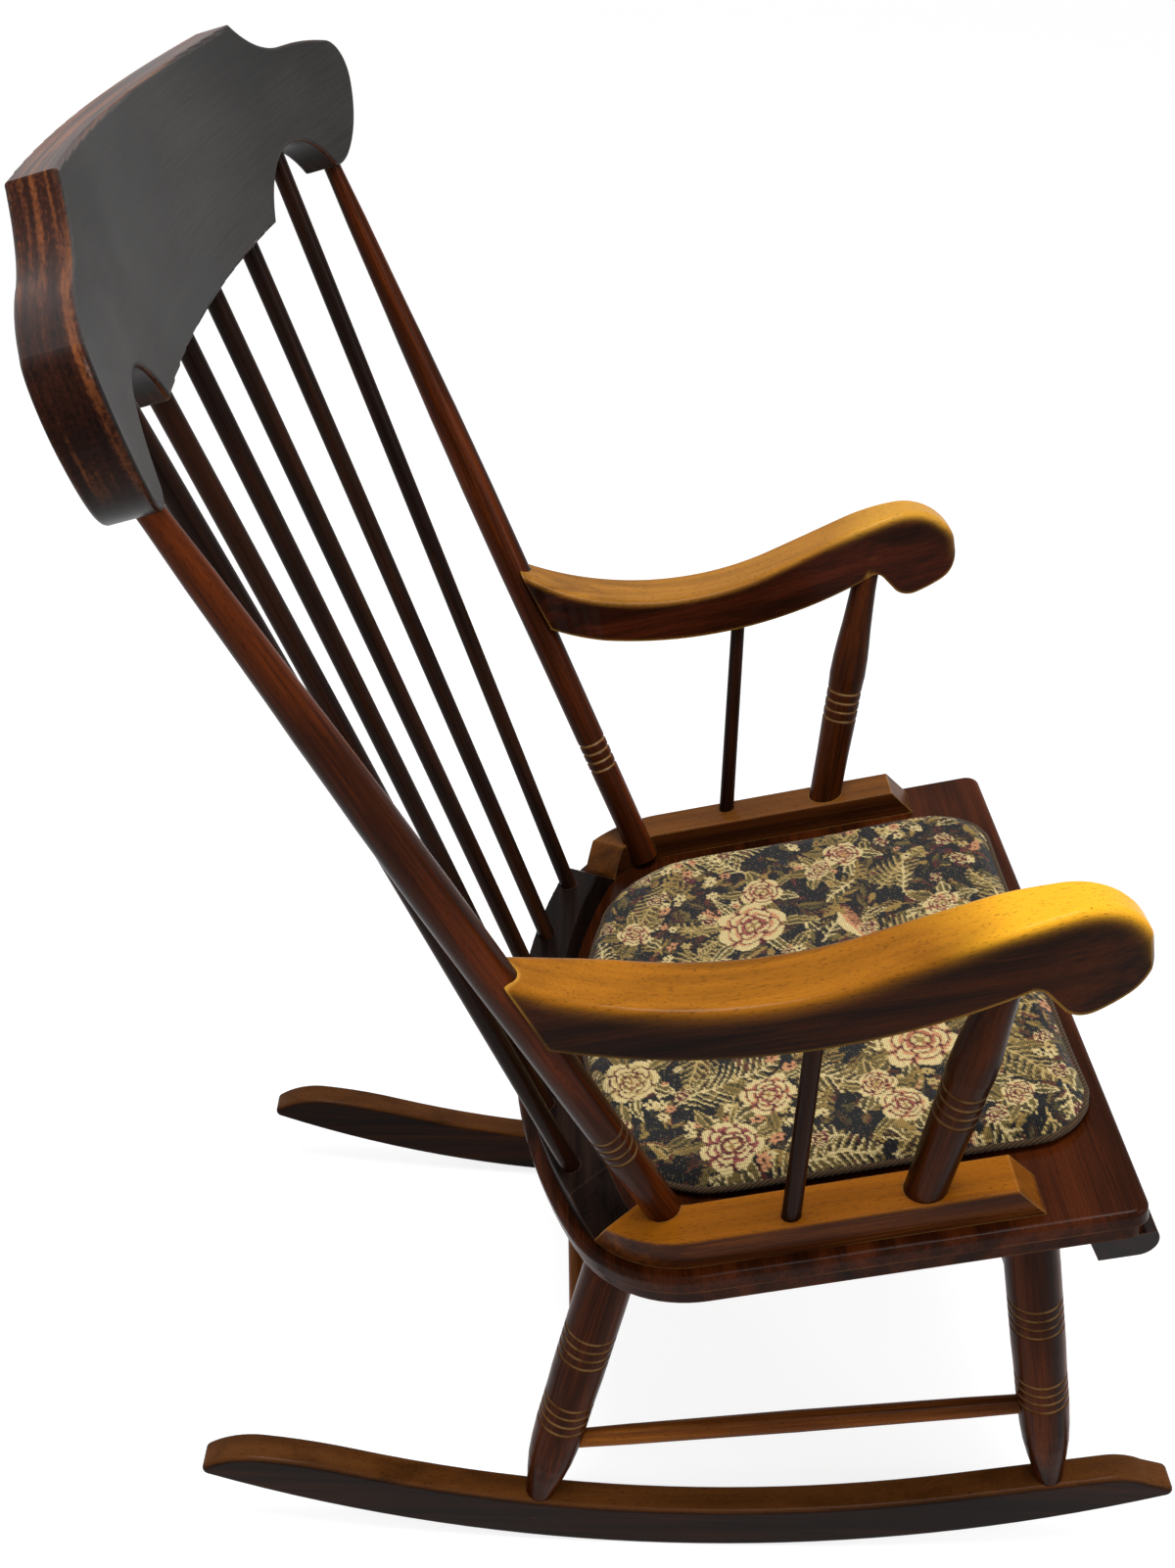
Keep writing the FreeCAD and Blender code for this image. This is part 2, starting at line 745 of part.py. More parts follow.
def side_rim():
    body = new_body("SideRim")
    inner_radius = rim_corner_radius - size("rim_width")
    outer_x = rim_half_width
    inner_x = rim_half_width - size("rim_width")
    front = size("rim_front_y")
    start = (inner_x, front)
    edges = [
        ("line", outer_x, front),
        ("line", outer_x, rim_centre_y),
        ("left", *joint_point(rim_corner_radius), rim_corner_radius),
        ("line", *joint_point(inner_radius)),
        ("right", inner_x, rim_centre_y, inner_radius),
        ("line", inner_x, front),
    ]
    sketch = sketch_outline(body, "XY_Plane", "SideRimPlan", start, edges)
    pad(body, sketch, "SideRimHeight", size("rim_height"))
    fillet(body, "SideRimArris", size("rim_arris"),
           lambda edge, middle: on_top(edge, middle) and not near(edge.Length, SIZES["rim_width"]))
    front_corner = (inner_x - size("overrun"), front, size("rim_joint_lip"))
    return cut("SideRim", body, [
        bevel_cutter("SideRimFrontBevel", front_corner, ZERO, size("rim_width") + size("overrun") * 2,
                     size("rim_front_bevel")),
        joint_cutter("SideRimJointBevel", size("side_rim_joint_bevel"), True),
        foot_bore("BackPostSocket", back_post_foot, back_post_top, back_post_foot_dia,
                  size("post_socket_depth")),
        foot_bore("ArmPostSocket", arm_post_foot, arm_post_top, arm_post_foot_dia,
                  size("post_socket_depth")),
        foot_bore("ArmSpindleSocket", arm_spindle_foot, arm_spindle_top, size("arm_spindle_dia"),
                  size("spindle_socket_depth")),
    ])


def back_rim():
    body = new_body("BackRim")
    inner_corner = rim_corner_radius - size("rim_width")
    inner_back = rim_back_radius - size("rim_width")
    outer_joint = joint_point(rim_corner_radius)
    inner_joint = joint_point(inner_corner)
    outer_tangent = back_tangent(rim_half_width, rim_corner_radius, rim_back_radius)
    inner_tangent = back_tangent(rim_half_width - size("rim_width"), inner_corner, inner_back)
    edges = [
        ("left", *outer_tangent, rim_corner_radius),
        ("left", -outer_tangent[0], outer_tangent[1], rim_back_radius),
        ("left", -outer_joint[0], outer_joint[1], rim_corner_radius),
        ("line", -inner_joint[0], inner_joint[1]),
        ("right", -inner_tangent[0], inner_tangent[1], inner_corner),
        ("right", *inner_tangent, inner_back),
        ("right", *inner_joint, inner_corner),
        ("line", *outer_joint),
    ]
    sketch = sketch_outline(body, "XY_Plane", "BackRimPlan", outer_joint, edges)
    pad(body, sketch, "BackRimHeight", size("rim_height"))
    fillet(body, "BackRimArris", size("rim_arris"),
           lambda edge, middle: on_top(edge, middle) and abs(middle.x) < SIZES["rim_width"])
    bores = with_twin(joint_cutter("BackRimJointBevel", size("back_rim_joint_bevel"), False))
    for number, (spindle_foot, spindle_top) in enumerate(back_spindles, start=1):
        bores += with_twin(foot_bore(f"BackSpindleSocket{number}", spindle_foot, spindle_top,
                                     size("back_spindle_dia"), size("spindle_socket_depth")))
    return cut("BackRim", body, bores)


keep_pair("side_rim", side_rim())
keep("back_rim", back_rim())


# Crest rail: sawn to its front outline and to a bowed plan

def crest_rail():
    reach = size("crest_reach")
    height = size("crest_height")
    outline = new_body("CrestOutline")
    ear_foot = (ear_foot_x, height * CREST_EAR_FOOT_SHARES[1])
    ear = [(reach * across, height * up) for across, up in CREST_EAR_SHARES]
    edges = [
        ("line", lobe_x, ZERO),
        ("right", *ear_foot, size("crest_notch_radius")),
        ("left", *ear[0], size("crest_ear_radius")),
    ]
    edges += [("smooth", *point) for point in ear[1:]]
    edges += [
        ("smooth", reach * CREST_TOP_CORNER_SHARE, height),
        ("line", ZERO, height),
        ("line", ZERO, ZERO),
    ]
    sketch = sketch_outline(outline, "XZ_Plane", "CrestFrontView", (ZERO, ZERO), edges)
    half = pad(outline, sketch, "CrestHalf", reach, both_ways=True)
    doc.recompute()
    whole = outline.newObject("PartDesign::Mirrored", "CrestWhole")
    whole.Originals = [half]
    whole.MirrorPlane = (origin_feature(outline, "YZ_Plane"), [""])
    outline.Tip = whole

    plan = new_body("CrestPlan")
    bow = size("crest_plan_radius")
    outer_bow = bow + size("crest_thickness")
    end_x = reach + size("overrun")
    front_y = leg_of(bow, end_x) - bow
    back_y = leg_of(outer_bow, end_x) - bow
    plan_edges = [
        ("right", end_x, front_y, bow),
        ("line", end_x, back_y),
        ("left", -end_x, back_y, outer_bow),
        ("line", -end_x, front_y),
    ]
    plan_sketch = sketch_outline(plan, "XY_Plane", "CrestBow", (-end_x, front_y), plan_edges)
    pad(plan, plan_sketch, "CrestBand", (height + size("overrun")) * 2, both_ways=True)

    rail = doc.addObject("Part::Common", "CrestSawn")
    rail.Base = outline
    rail.Tool = plan
    rounded = round_edges("CrestRounded", rail, "crest_round",
                          lambda edge, middle: is_curved(edge) and edge.Length > 2 * SIZES["crest_round"])
    foot = vector_text((ZERO, size("crest_foot_y"), size("crest_foot_z")))
    lean_back = "rotation(vector(1; 0; 0); -Sizes.crest_lean)"
    rounded.setExpression("Placement", f"placement({foot}; {lean_back})")

    bores = with_twin(top_bore("BackPostCrestSocket", back_post_foot, back_post_top, back_post_top_dia,
                               size("crest_socket_depth")))
    for number, (spindle_foot, spindle_top) in enumerate(back_spindles, start=1):
        bores += with_twin(top_bore(f"BackSpindleCrestSocket{number}", spindle_foot, spindle_top,
                                    size("back_spindle_dia"), size("crest_socket_depth")))
    return cut("CrestRail", rounded, bores)


keep("crest_rail", crest_rail())


# Arms: sawn to a side profile and to a plan, rounded on top, housed round the back posts

arm_inner_x = half_seat - size("arm_inset")


def arm_side(shares):
    along, up = shares
    return size("arm_nose_y") + size("arm_length") * along, size("arm_low_z") + size("arm_rise") * up


def arm_plan(name):
    across, along = ARM_PLAN_SHARES[name]
    return arm_inner_x + size("arm_spread") * across, size("arm_nose_y") + size("arm_length") * along


def arm():
    side = new_body("ArmSide")
    lobe_back = arm_side(ARM_LOBE_BACK_SHARES)
    throat_front, throat_back = ARM_THROAT_SHARES
    edges = [
        ("line", *arm_side(throat_front)),
        ("smooth", *arm_side(throat_back)),
        ("left", *arm_side(ARM_HEEL_FOOT_SHARES), size("arm_belly_radius")),
        ("line", *arm_side((1, 1))),
        ("right", *arm_side(ARM_SADDLE_SHARES), size("arm_saddle_radius")),
    ]
    edges += [("smooth", *arm_side(shares)) for shares in ARM_TOP_SHARES]
    edges.append(("smooth", *lobe_back))
    side_sketch = sketch_outline(side, "YZ_Plane", "ArmSideView", lobe_back, edges)
    pad(side, side_sketch, "ArmBlank", arm_inner_x + size("arm_spread") + size("overrun"))

    plan = new_body("ArmPlan")
    plan_edges = [
        ("left", *arm_plan("nose outer"), size("arm_nose_radius")),
        ("left", *arm_plan("outer bend"), size("arm_outer_radius")),
        ("line", *arm_plan("heel outer")),
        ("line", *arm_plan("heel inner")),
        ("left", *arm_plan("inner bend"), size("arm_heel_radius")),
        ("left", *arm_plan("inner front"), size("arm_inner_radius")),
        ("line", *arm_plan("nose inner")),
    ]
    plan_sketch = sketch_outline(plan, "XY_Plane", "ArmPlanView", arm_plan("nose inner"), plan_edges)
    pad(plan, plan_sketch, "ArmColumn", size("arm_low_z") + size("arm_rise") + size("overrun"))

    blank = doc.addObject("Part::Common", "ArmSawn")
    blank.Base = side
    blank.Tool = plan
    heel_y, _ = arm_side(ARM_HEEL_FOOT_SHARES)
    rounded_z = size("arm_low_z") + size("arm_rise") * ARM_ROUNDED_SHARE

    def is_top_edge(edge, middle):
        return is_curved(edge) and middle.y < heel_y.value and middle.z > rounded_z.value

    rounded = round_edges("ArmRounded", blank, "arm_round", is_top_edge)
    return cut("Arm", rounded, [
        top_bore("ArmPostTopSocket", arm_post_foot, arm_post_top, arm_post_top_dia,
                 size("arm_socket_depth")),
        top_bore("ArmSpindleTopSocket", arm_spindle_foot, arm_spindle_top, arm_spindle_top_dia,
                 size("arm_socket_depth")),
        bore("BackPostHousing", back_post_foot, back_post_top, size("back_post_dia"),
             size("arm_low_z") - size("overrun") - rim_top_z,
             size("arm_low_z") + size("arm_rise") + size("overrun")),
    ])


def dowel_line():
    """The line of the dowel that pins an arm's heel to its back post, from the arm into the post."""
    share = (size("dowel_height") - rim_top_z) / (back_post_top[2] - rim_top_z)
    in_post = part_way(back_post_foot, back_post_top, share)
    in_arm = (in_post[0] - size("dowel_splay"), in_post[1] - size("dowel_length"), in_post[2])
    return in_arm, in_post


def dowel():
    foot, top = dowel_line()
    pin = doc.addObject("Part::Cylinder", "ArmDowel")
    pin.setExpression("Radius", (size("dowel_dia") / 2).formula)
    pin.setExpression("Height", size("dowel_length").formula)
    stand_along(pin, foot, top)
    return pin


def dowel_bore(name):
    foot, top = dowel_line()
    return bore(name, foot, top, size("dowel_dia"), -bore_gap, size("dowel_length") + bore_gap)


keep_pair("arm", cut("ArmDrilled", arm(), [dowel_bore("ArmDowelHole")]))
keep_pair("back_post", cut("BackPostDrilled", back_post, [dowel_bore("PostDowelHole")]))
pin = dowel()
both_pins = doc.addObject("Part::Compound", "ArmDowels")
both_pins.Links = [pin, mirrored(pin, "ArmDowelTwin")]
keep("arm_dowels", both_pins)


# Legs: turned, coped flat to the rockers at the foot, tenoned at both ends

def leg(name, foot, top, foot_slope, bores):
    body = turned(name, foot, top, size("leg_dia"), LEG_SHARES, size("leg_foot_stock"),
                  size("leg_socket_depth"))
    plane = doc.addObject("Part::Box", name + "FootPlane")
    for side in ("Length", "Width", "Height"):
        plane.setExpression(side, (size("leg_dia") * 2).formula)
    corner = (-size("leg_dia"), -size("leg_dia"), bore_gap - size("leg_dia") * 2)
    turned_plane = f"placement({vector_text(foot)}; rotation(vector(1; 0; 0); {foot_slope.formula}))"
    shifted = f"placement({vector_text(corner)}; rotation(vector(1; 0; 0); 0))"
    plane.setExpression("Placement", f"{turned_plane} * {shifted}")
    coped = cut(name + "Coped", body, [plane])
    tenon = doc.addObject("Part::Cylinder", name + "FootTenon")
    tenon.setExpression("Radius", (size("leg_tenon_dia") / 2).formula)
    tenon.setExpression("Height", (size("rocker_socket_depth") + size("leg_dia") / 2).formula)
    stand_along(tenon, part_way(foot, top, -size("rocker_socket_depth") / span(foot, top)), top)
    joined = doc.addObject("Part::Fuse", name + "WithTenon")
    joined.Base = coped
    joined.Tool = tenon
    return cut(name, joined, bores)


def stretcher(name, start, end):
    inset = size("stretcher_entry") / span(start, end)
    near_end = part_way(start, end, inset)
    far_end = part_way(end, start, inset)
    return turned(name, near_end, far_end, size("stretcher_dia"), STRETCHER_SHARES,
                  size("stretcher_socket_depth"), size("stretcher_socket_depth"))


stretcher_end_dia = size("stretcher_dia") * STRETCHER_SHARES[0][1]


def stretcher_bore(name, start, end):
    """The socket in the leg at start, for the stretcher that runs on to end."""
    stop = size("stretcher_entry") - size("stretcher_socket_depth") - bore_gap
    return bore(name, start, end, stretcher_end_dia, stop, size("leg_dia"))


rear_slope_run = size("rear_leg_foot_y") - size("rocker_low_y")
rear_slope_rise = leg_of(size("rocker_radius") - size("rocker_height"), rear_slope_run)
rear_slope = Size(math.degrees(math.atan2(rear_slope_run.value, rear_slope_rise.value)),
                  f"atan({rear_slope_run.formula} / {rear_slope_rise.formula})")

side_front, side_rear = side_stretcher_ends
keep_pair("front_leg", leg("FrontLeg", front_leg_foot, front_leg_top, ZERO, [
    stretcher_bore("FrontLegSideHole", side_front, side_rear),
    stretcher_bore("FrontLegCrossHole", front_cross_end, across_to_twin(front_cross_end)),
]))
keep_pair("rear_leg", leg("RearLeg", rear_leg_foot, rear_leg_top, rear_slope, [
    stretcher_bore("RearLegSideHole", side_rear, side_front),
    stretcher_bore("RearLegCrossHole", rear_cross_end, across_to_twin(rear_cross_end)),
]))
keep_pair("side_stretcher", stretcher("SideStretcher", side_front, side_rear))
keep("front_cross_stretcher",
     stretcher("FrontCrossStretcher", front_cross_end, across_to_twin(front_cross_end)))
keep("rear_cross_stretcher",
     stretcher("RearCrossStretcher", rear_cross_end, across_to_twin(rear_cross_end)))


# Rockers

def rocker():
    body = new_body("Rocker")
    nose = rocker_point(size("rocker_nose_y"), ZERO)
    tail = rocker_point(size("rocker_tail_y"), ZERO)
    curl_start = rocker_point(size("rocker_curl_start_y"), size("rocker_height"))
    curl_top = (curl_start[0] + size("rocker_curl_run"), curl_start[1] + size("rocker_curl_rise"))
    top_low = rocker_point(size("rocker_low_y"), size("rocker_height"))
    shoulder = (size("rocker_nose_shoulder_y"), top_low[1])
    nose_drop = size("rocker_nose_radius") - leg_of(size("rocker_nose_radius"), size("rocker_nose_run"))
    nose_top = (shoulder[0] - size("rocker_nose_run"), shoulder[1] - nose_drop)
    edges = [
        ("left", *tail, size("rocker_radius")),
        ("left", *curl_top, size("rocker_tail_radius")),
        ("left", *curl_start, size("rocker_curl_radius")),
        ("right", *top_low, size("rocker_radius") - size("rocker_height")),
        ("line", *shoulder),
        ("left", *nose_top, size("rocker_nose_radius")),
        ("line", *nose),
    ]
    sketch = sketch_outline(body, "YZ_Plane", "RockerSideView", nose, edges)
    pad(body, sketch, "RockerBoard", size("rocker_thickness"), both_ways=True)
    tips = [nose[0].value, tail[0].value]
    fillet(body, "RockerTips", size("rocker_tip_radius"),
           lambda edge, middle: near(middle.x, 0) and any(near(middle.y, tip) for tip in tips))
    half = SIZES["rocker_thickness"] / 2
    fillet(body, "RockerRound", size("rocker_round"),
           lambda edge, middle: near(abs(middle.x), half) and middle.z > bottom_of(middle.y) + half)
    track = vector_text((half_track, ZERO, ZERO))
    body.setExpression("Placement", f"placement({track}; rotation(vector(0; 0; 1); Sizes.rocker_toe))")
    bores = []
    for name, foot, top in (("FrontLeg", front_leg_foot, front_leg_top),
                            ("RearLeg", rear_leg_foot, rear_leg_top)):
        bores.append(foot_bore(name + "RockerSocket", foot, top, size("leg_tenon_dia"),
                               size("rocker_socket_depth")))
    return cut("Rocker", body, bores)


def bottom_of(along):
    """Height of the rocker's running circle at a place along it."""
    radius = SIZES["rocker_radius"]
    return radius - SIZES["rocker_drop"] - math.sqrt(radius**2 - (along - SIZES["rocker_low_y"])**2)


keep_pair("rocker", rocker())


# Seat cushion: a crowned pad with drawn-in sides, lofted through flat sections

def seat_cushion():
    body = new_body("SeatCushion")
    half_width = rim_half_width - size("rim_width") - size("cushion_side_gap")
    back_radius = rim_back_radius - size("rim_width") - size("cushion_back_gap")
    sections = []
    for number, (up, drawn) in enumerate(CUSHION_SECTION_SHARES, start=1):
        inset = size("cushion_draw_in") * drawn
        start, edges = tray_edges(
            size("cushion_front_y") + inset, half_width - inset,
            size("cushion_front_corner_radius") - inset, size("cushion_corner_radius") - inset,
            back_radius - inset)
        height = size("cushion_lift") + (size("cushion_height") - size("cushion_lift")) * up
        sections.append(sketch_outline(body, "XY_Plane", f"CushionSection{number}", start, edges, height))
    loft = body.newObject("PartDesign::AdditiveLoft", "CushionLoft")
    loft.Profile = sections[0]
    loft.Sections = sections[1:]
    loft.Ruled = False
    return body


keep("seat_cushion", seat_cushion())


# Stance: the chair leans back until its centre of mass stands over the rockers' touching line

for label, thing in pieces.items():
    final = doc.addObject("Part::Compound", "Rest_" + label)
    final.Links = [thing]
    final.Label = label
    pieces[label] = final
doc.recompute()


def balanced_lean():
    mass = 0
    moment = FreeCAD.Vector()
    for label, thing in pieces.items():
        density = SIZES["cushion_density" if label == "seat_cushion" else "wood_density"]
        mass += density * thing.Shape.Volume
        moment += thing.Shape.CenterOfGravity * density * thing.Shape.Volume
    centre = moment / mass
    return math.degrees(math.atan2(centre.y - SIZES["rocker_low_y"], centre_z.value - centre.z))


def leaned_box(shape, angle):
    leaned = shape.copy()
    leaned.rotate(FreeCAD.Vector(), FreeCAD.Vector(1, 0, 0), -angle)
    return leaned.optimalBoundingBox(False, False)


lean_angle = balanced_lean()
boxes = [leaned_box(thing.Shape, lean_angle) for thing in pieces.values()]
middle_y = (min(box.YMin for box in boxes) + max(box.YMax for box in boxes)) / 2
stance = {"lean": lean_angle, "rest_middle_y": middle_y}
for row, (alias, number) in enumerate(stance.items(), start=len(SIZES) + 1):
    sheet.set(f"A{row}", alias)
    sheet.set(f"B{row}", repr(number))
    sheet.setAlias(f"B{row}", alias)
doc.recompute()
lean = size("lean")
lift = size("rocker_radius") + size("rocker_low_y") * sine(lean) - centre_z * cosine(lean)
shift = vector_text((ZERO, -size("rest_middle_y"), lift))
for thing in pieces.values():
    thing.setExpression("Placement", f"placement({shift}; rotation(vector(1; 0; 0); -Sizes.lean))")
doc.recompute()
print(f"lean {lean_angle:.2f} degrees, lift {lift.value:.2f} mm, middle {middle_y:.2f} mm")

failed = [thing.Name for thing in doc.Objects if "Invalid" in thing.State or "Error" in thing.State]
if failed:
    raise RuntimeError(f"failed: {failed}")
os.makedirs("parts", exist_ok=True)
for label, thing in pieces.items():
    if thing.Shape.isNull() or not thing.Shape.isValid():
        raise RuntimeError(f"{label} has no valid shape")
    thing.Shape.exportStep(f"parts/{label}.step")
print(f"{len(pieces)} pieces written")
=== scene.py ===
"""Looks of the spindle-back rocking chair: lacquered beech, and a padded tapestry cushion."""

import math
import random

import bmesh
import bpy
import numpy as np
from mathutils import Matrix, Vector
from mathutils.bvhtree import BVHTree


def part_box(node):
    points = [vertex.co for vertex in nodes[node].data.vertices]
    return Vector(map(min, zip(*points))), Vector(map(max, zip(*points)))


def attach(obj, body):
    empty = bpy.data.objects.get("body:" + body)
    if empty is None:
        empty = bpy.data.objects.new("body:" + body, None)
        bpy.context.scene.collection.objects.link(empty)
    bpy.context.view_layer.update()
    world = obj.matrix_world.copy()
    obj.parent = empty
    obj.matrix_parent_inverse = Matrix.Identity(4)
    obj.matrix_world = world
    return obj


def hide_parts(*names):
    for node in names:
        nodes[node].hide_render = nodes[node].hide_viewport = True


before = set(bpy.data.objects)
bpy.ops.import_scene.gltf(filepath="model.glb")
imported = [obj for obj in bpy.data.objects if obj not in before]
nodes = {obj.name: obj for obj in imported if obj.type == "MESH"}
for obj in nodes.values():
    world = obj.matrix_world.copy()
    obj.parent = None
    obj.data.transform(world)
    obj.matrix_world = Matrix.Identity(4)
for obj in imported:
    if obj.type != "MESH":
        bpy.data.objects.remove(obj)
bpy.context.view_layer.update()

bpy.ops.object.select_all(action="DESELECT")
scene = bpy.context.scene
MM = 0.001

# How the chair stands at rest, in metres. Level means the seat board flat, with the origin on the
# middle of its front edge; the chair leans back from there on its rockers.

LEAN = math.radians(14.5355)
MIDDLE_Y = 0.27433
LIFT_Z = 0.44811
LEVEL_TO_REST = Matrix.Translation((0, -MIDDLE_Y, LIFT_Z)) @ Matrix.Rotation(-LEAN, 4, "X")


def at_rest(x, y, z):
    """A point given in millimetres on the level chair, in metres on the chair at rest."""
    return LEVEL_TO_REST @ Vector((x * MM, y * MM, z * MM))


def turned_to_rest(x, y, z):
    """A direction on the level chair, on the chair at rest."""
    return (LEVEL_TO_REST.to_3x3() @ Vector((x, y, z))).normalized()


# Crest rail on the level chair: its lean against the seat's plane, the radius of its bow in metres,
# and the middle of its front face's lower edge in millimetres

CREST_LEAN = math.radians(3.2)
CREST_RADIUS = 1.322
CREST_FOOT = (0, 465.5, 611.8)


# Camera: its place and directions on the chair at rest in metres, and the photograph's height and
# focal length in pixels

CAMERA_PLACE = (-0.967479, 0.134729, 1.210706)
CAMERA_RIGHT = (-0.015376, -0.998693, 0.048739)
CAMERA_DOWN = (-0.540767, -0.032695, -0.840537)
CAMERA_AHEAD = (0.841032, -0.039280, -0.539558)
PICTURE_HEIGHT = 1601
FOCAL_PIXELS = 1640
SENSOR_WIDTH = 36
NEAREST_SEEN = 0.02
FARTHEST_SEEN = 200


def add_camera():
    camera = bpy.data.objects.new("camera", bpy.data.cameras.new("camera"))
    scene.collection.objects.link(camera)
    right, down, ahead = Vector(CAMERA_RIGHT), Vector(CAMERA_DOWN), Vector(CAMERA_AHEAD)
    turn = Matrix((right, -down, -ahead)).transposed()
    camera.matrix_world = Matrix.Translation(CAMERA_PLACE) @ turn.to_4x4()
    camera.data.sensor_fit = "AUTO"
    camera.data.sensor_width = SENSOR_WIDTH
    camera.data.lens = SENSOR_WIDTH * FOCAL_PIXELS / PICTURE_HEIGHT
    camera.data.clip_start = NEAREST_SEEN
    camera.data.clip_end = FARTHEST_SEEN
    scene.camera = camera


# Materials

def tone(code):
    """A colour written as six hex digits, in the linear numbers that the shader takes."""
    parts = [int(code[i:i + 2], 16) / 255 for i in (0, 2, 4)]
    linear = [p / 12.92 if p < 0.04045 else ((p + 0.055) / 1.055) ** 2.4 for p in parts]
    return (*linear, 1.0)


# Worn edges start where the rounded normal is off the flat one by SLIGHT_TURN, as 1 less the
# cosine, and are worn in full at SHARP_TURN.

SLIGHT_TURN = 0.01
SHARP_TURN = 0.16
EDGE_SAMPLES = 4
ROLL_SAMPLES = 6


class Finish:
    """A material that is put together node by node."""

    def __init__(self, name):
        self.material = bpy.data.materials.new(name)
        self.material.use_nodes = True
        self.tree = self.material.node_tree
        self.tree.nodes.clear()

    def node(self, kind, inputs=None, **settings):
        made = self.tree.nodes.new(kind)
        for key, value in settings.items():
            setattr(made, key, value)
        for key, value in (inputs or {}).items():
            if isinstance(value, bpy.types.NodeSocket):
                self.tree.links.new(value, made.inputs[key])
            else:
                made.inputs[key].default_value = value
        return made

    def sum(self, operation, first, second=0.0, third=0.0):
        inputs = {0: first, 1: second, 2: third}
        return self.node("ShaderNodeMath", inputs, operation=operation).outputs[0]

    def blended(self, share, first, second, kind="MIX"):
        mixer = self.node("ShaderNodeMix", data_type="RGBA", blend_type=kind)
        for socket, value in ((0, share), (6, first), (7, second)):
            if isinstance(value, bpy.types.NodeSocket):
                self.tree.links.new(value, mixer.inputs[socket])
            else:
                mixer.inputs[socket].default_value = value
        return mixer.outputs[2]

    def spread(self, value, low, high):
        """0 below low, 1 above high, and smooth between."""
        inputs = {"Value": value, "From Min": low, "From Max": high}
        mapper = self.node("ShaderNodeMapRange", inputs, interpolation_type="SMOOTHSTEP")
        return mapper.outputs["Result"]

    def dot(self, first, second):
        inputs = {0: first, 1: second}
        return self.node("ShaderNodeVectorMath", inputs, operation="DOT_PRODUCT").outputs["Value"]

    def softened_normal(self, radius, samples):
        """The surface's normal with the edges rounded over by a radius."""
        return self.node("ShaderNodeBevel", {"Radius": radius}, samples=samples).outputs["Normal"]

    def ramp(self, value, stops):
        ramp = self.node("ShaderNodeValToRGB", {"Fac": value})
        colours = ramp.color_ramp.elements
        colours[0].position, colours[0].color = stops[0]
        colours[1].position, colours[1].color = stops[-1]
        for place, colour in stops[1:-1]:
            colours.new(place).color = colour
        return ramp.outputs["Color"]

    def local(self, centre, along, across):
        """Object coordinates from a centre, with X along the piece and Y across it."""
        along = Vector(along).normalized()
        third = along.cross(Vector(across)).normalized()
        across = third.cross(along)
        turn = Matrix((along, across, third)).transposed().to_euler()
        place = self.node("ShaderNodeTexCoord").outputs["Object"]
        inputs = {"Vector": place, "Location": centre, "Rotation": turn}
        return self.node("ShaderNodeMapping", inputs, vector_type="TEXTURE").outputs["Vector"]

    def bowed(self, axis_place, along, across, radius):
        """Coordinates of a board bent about an axis: along it, out from its face, and up it."""
        place = self.local(axis_place, along, across)
        parts = self.node("ShaderNodeSeparateXYZ", {0: place}).outputs
        reach = self.sum("SQRT", self.sum("MULTIPLY_ADD", parts["X"], parts["X"],
                         self.sum("MULTIPLY", parts["Y"], parts["Y"])))
        inputs = {"X": parts["X"], "Y": self.sum("SUBTRACT", reach, radius), "Z": parts["Z"]}
        return self.node("ShaderNodeCombineXYZ", inputs).outputs["Vector"]

    def stretched(self, place, scale):
        inputs = {"Vector": place, "Scale": scale}
        return self.node("ShaderNodeMapping", inputs, vector_type="POINT").outputs["Vector"]

    def noise(self, place, scale, detail=2.0, rough=0.5, warp=0.0):
        """Noise with its scale given for each direction, as waves in a metre."""
        inputs = {"Vector": self.stretched(place, scale), "Scale": 1.0, "Detail": detail,
                  "Roughness": rough, "Distortion": warp}
        return self.node("ShaderNodeTexNoise", inputs).outputs["Fac"]

    def edge_share(self, reach):
        """1 along the piece's sharp edges and 0 a reach away from them."""
        flat = self.node("ShaderNodeNewGeometry").outputs["Normal"]
        match = self.dot(self.softened_normal(reach, EDGE_SAMPLES), flat)
        return self.spread(self.sum("SUBTRACT", 1.0, match), SLIGHT_TURN, SHARP_TURN)

    def facing(self, direction, soft=0.0):
        """How far the surface faces a direction, from -1 to 1, with its edges rounded by soft."""
        normal = self.node("ShaderNodeTexCoord").outputs["Normal"]
        if soft:
            inputs = {"Vector": self.softened_normal(soft, ROLL_SAMPLES)}
            turned = self.node("ShaderNodeVectorTransform", inputs, vector_type="NORMAL",
                               convert_from="WORLD", convert_to="OBJECT")
            normal = turned.outputs["Vector"]
        return self.dot(normal, Vector(direction).normalized())

    def shade(self, colour, roughness, height, depth, **constants):
        """The finished material, from its colour, roughness, relief and other shader inputs."""
        relief = {"Height": height, "Distance": depth, "Strength": 1.0}
        normal = self.node("ShaderNodeBump", relief).outputs["Normal"]
        inputs = {"Base Color": colour, "Roughness": roughness, "Normal": normal}
        shader = self.node("ShaderNodeBsdfPrincipled", inputs)
        for key, value in constants.items():
            shader.inputs[key.replace("_", " ").title().replace("Ior", "IOR")].default_value = value
        self.node("ShaderNodeOutputMaterial", {"Surface": shader.outputs[0]})
        return self.material


# Wood. WAVES are the number of waves in a metre along a piece, across it and through it. STOPS
# are where the dark, middle and light stain lie on the level that the three weights add up.

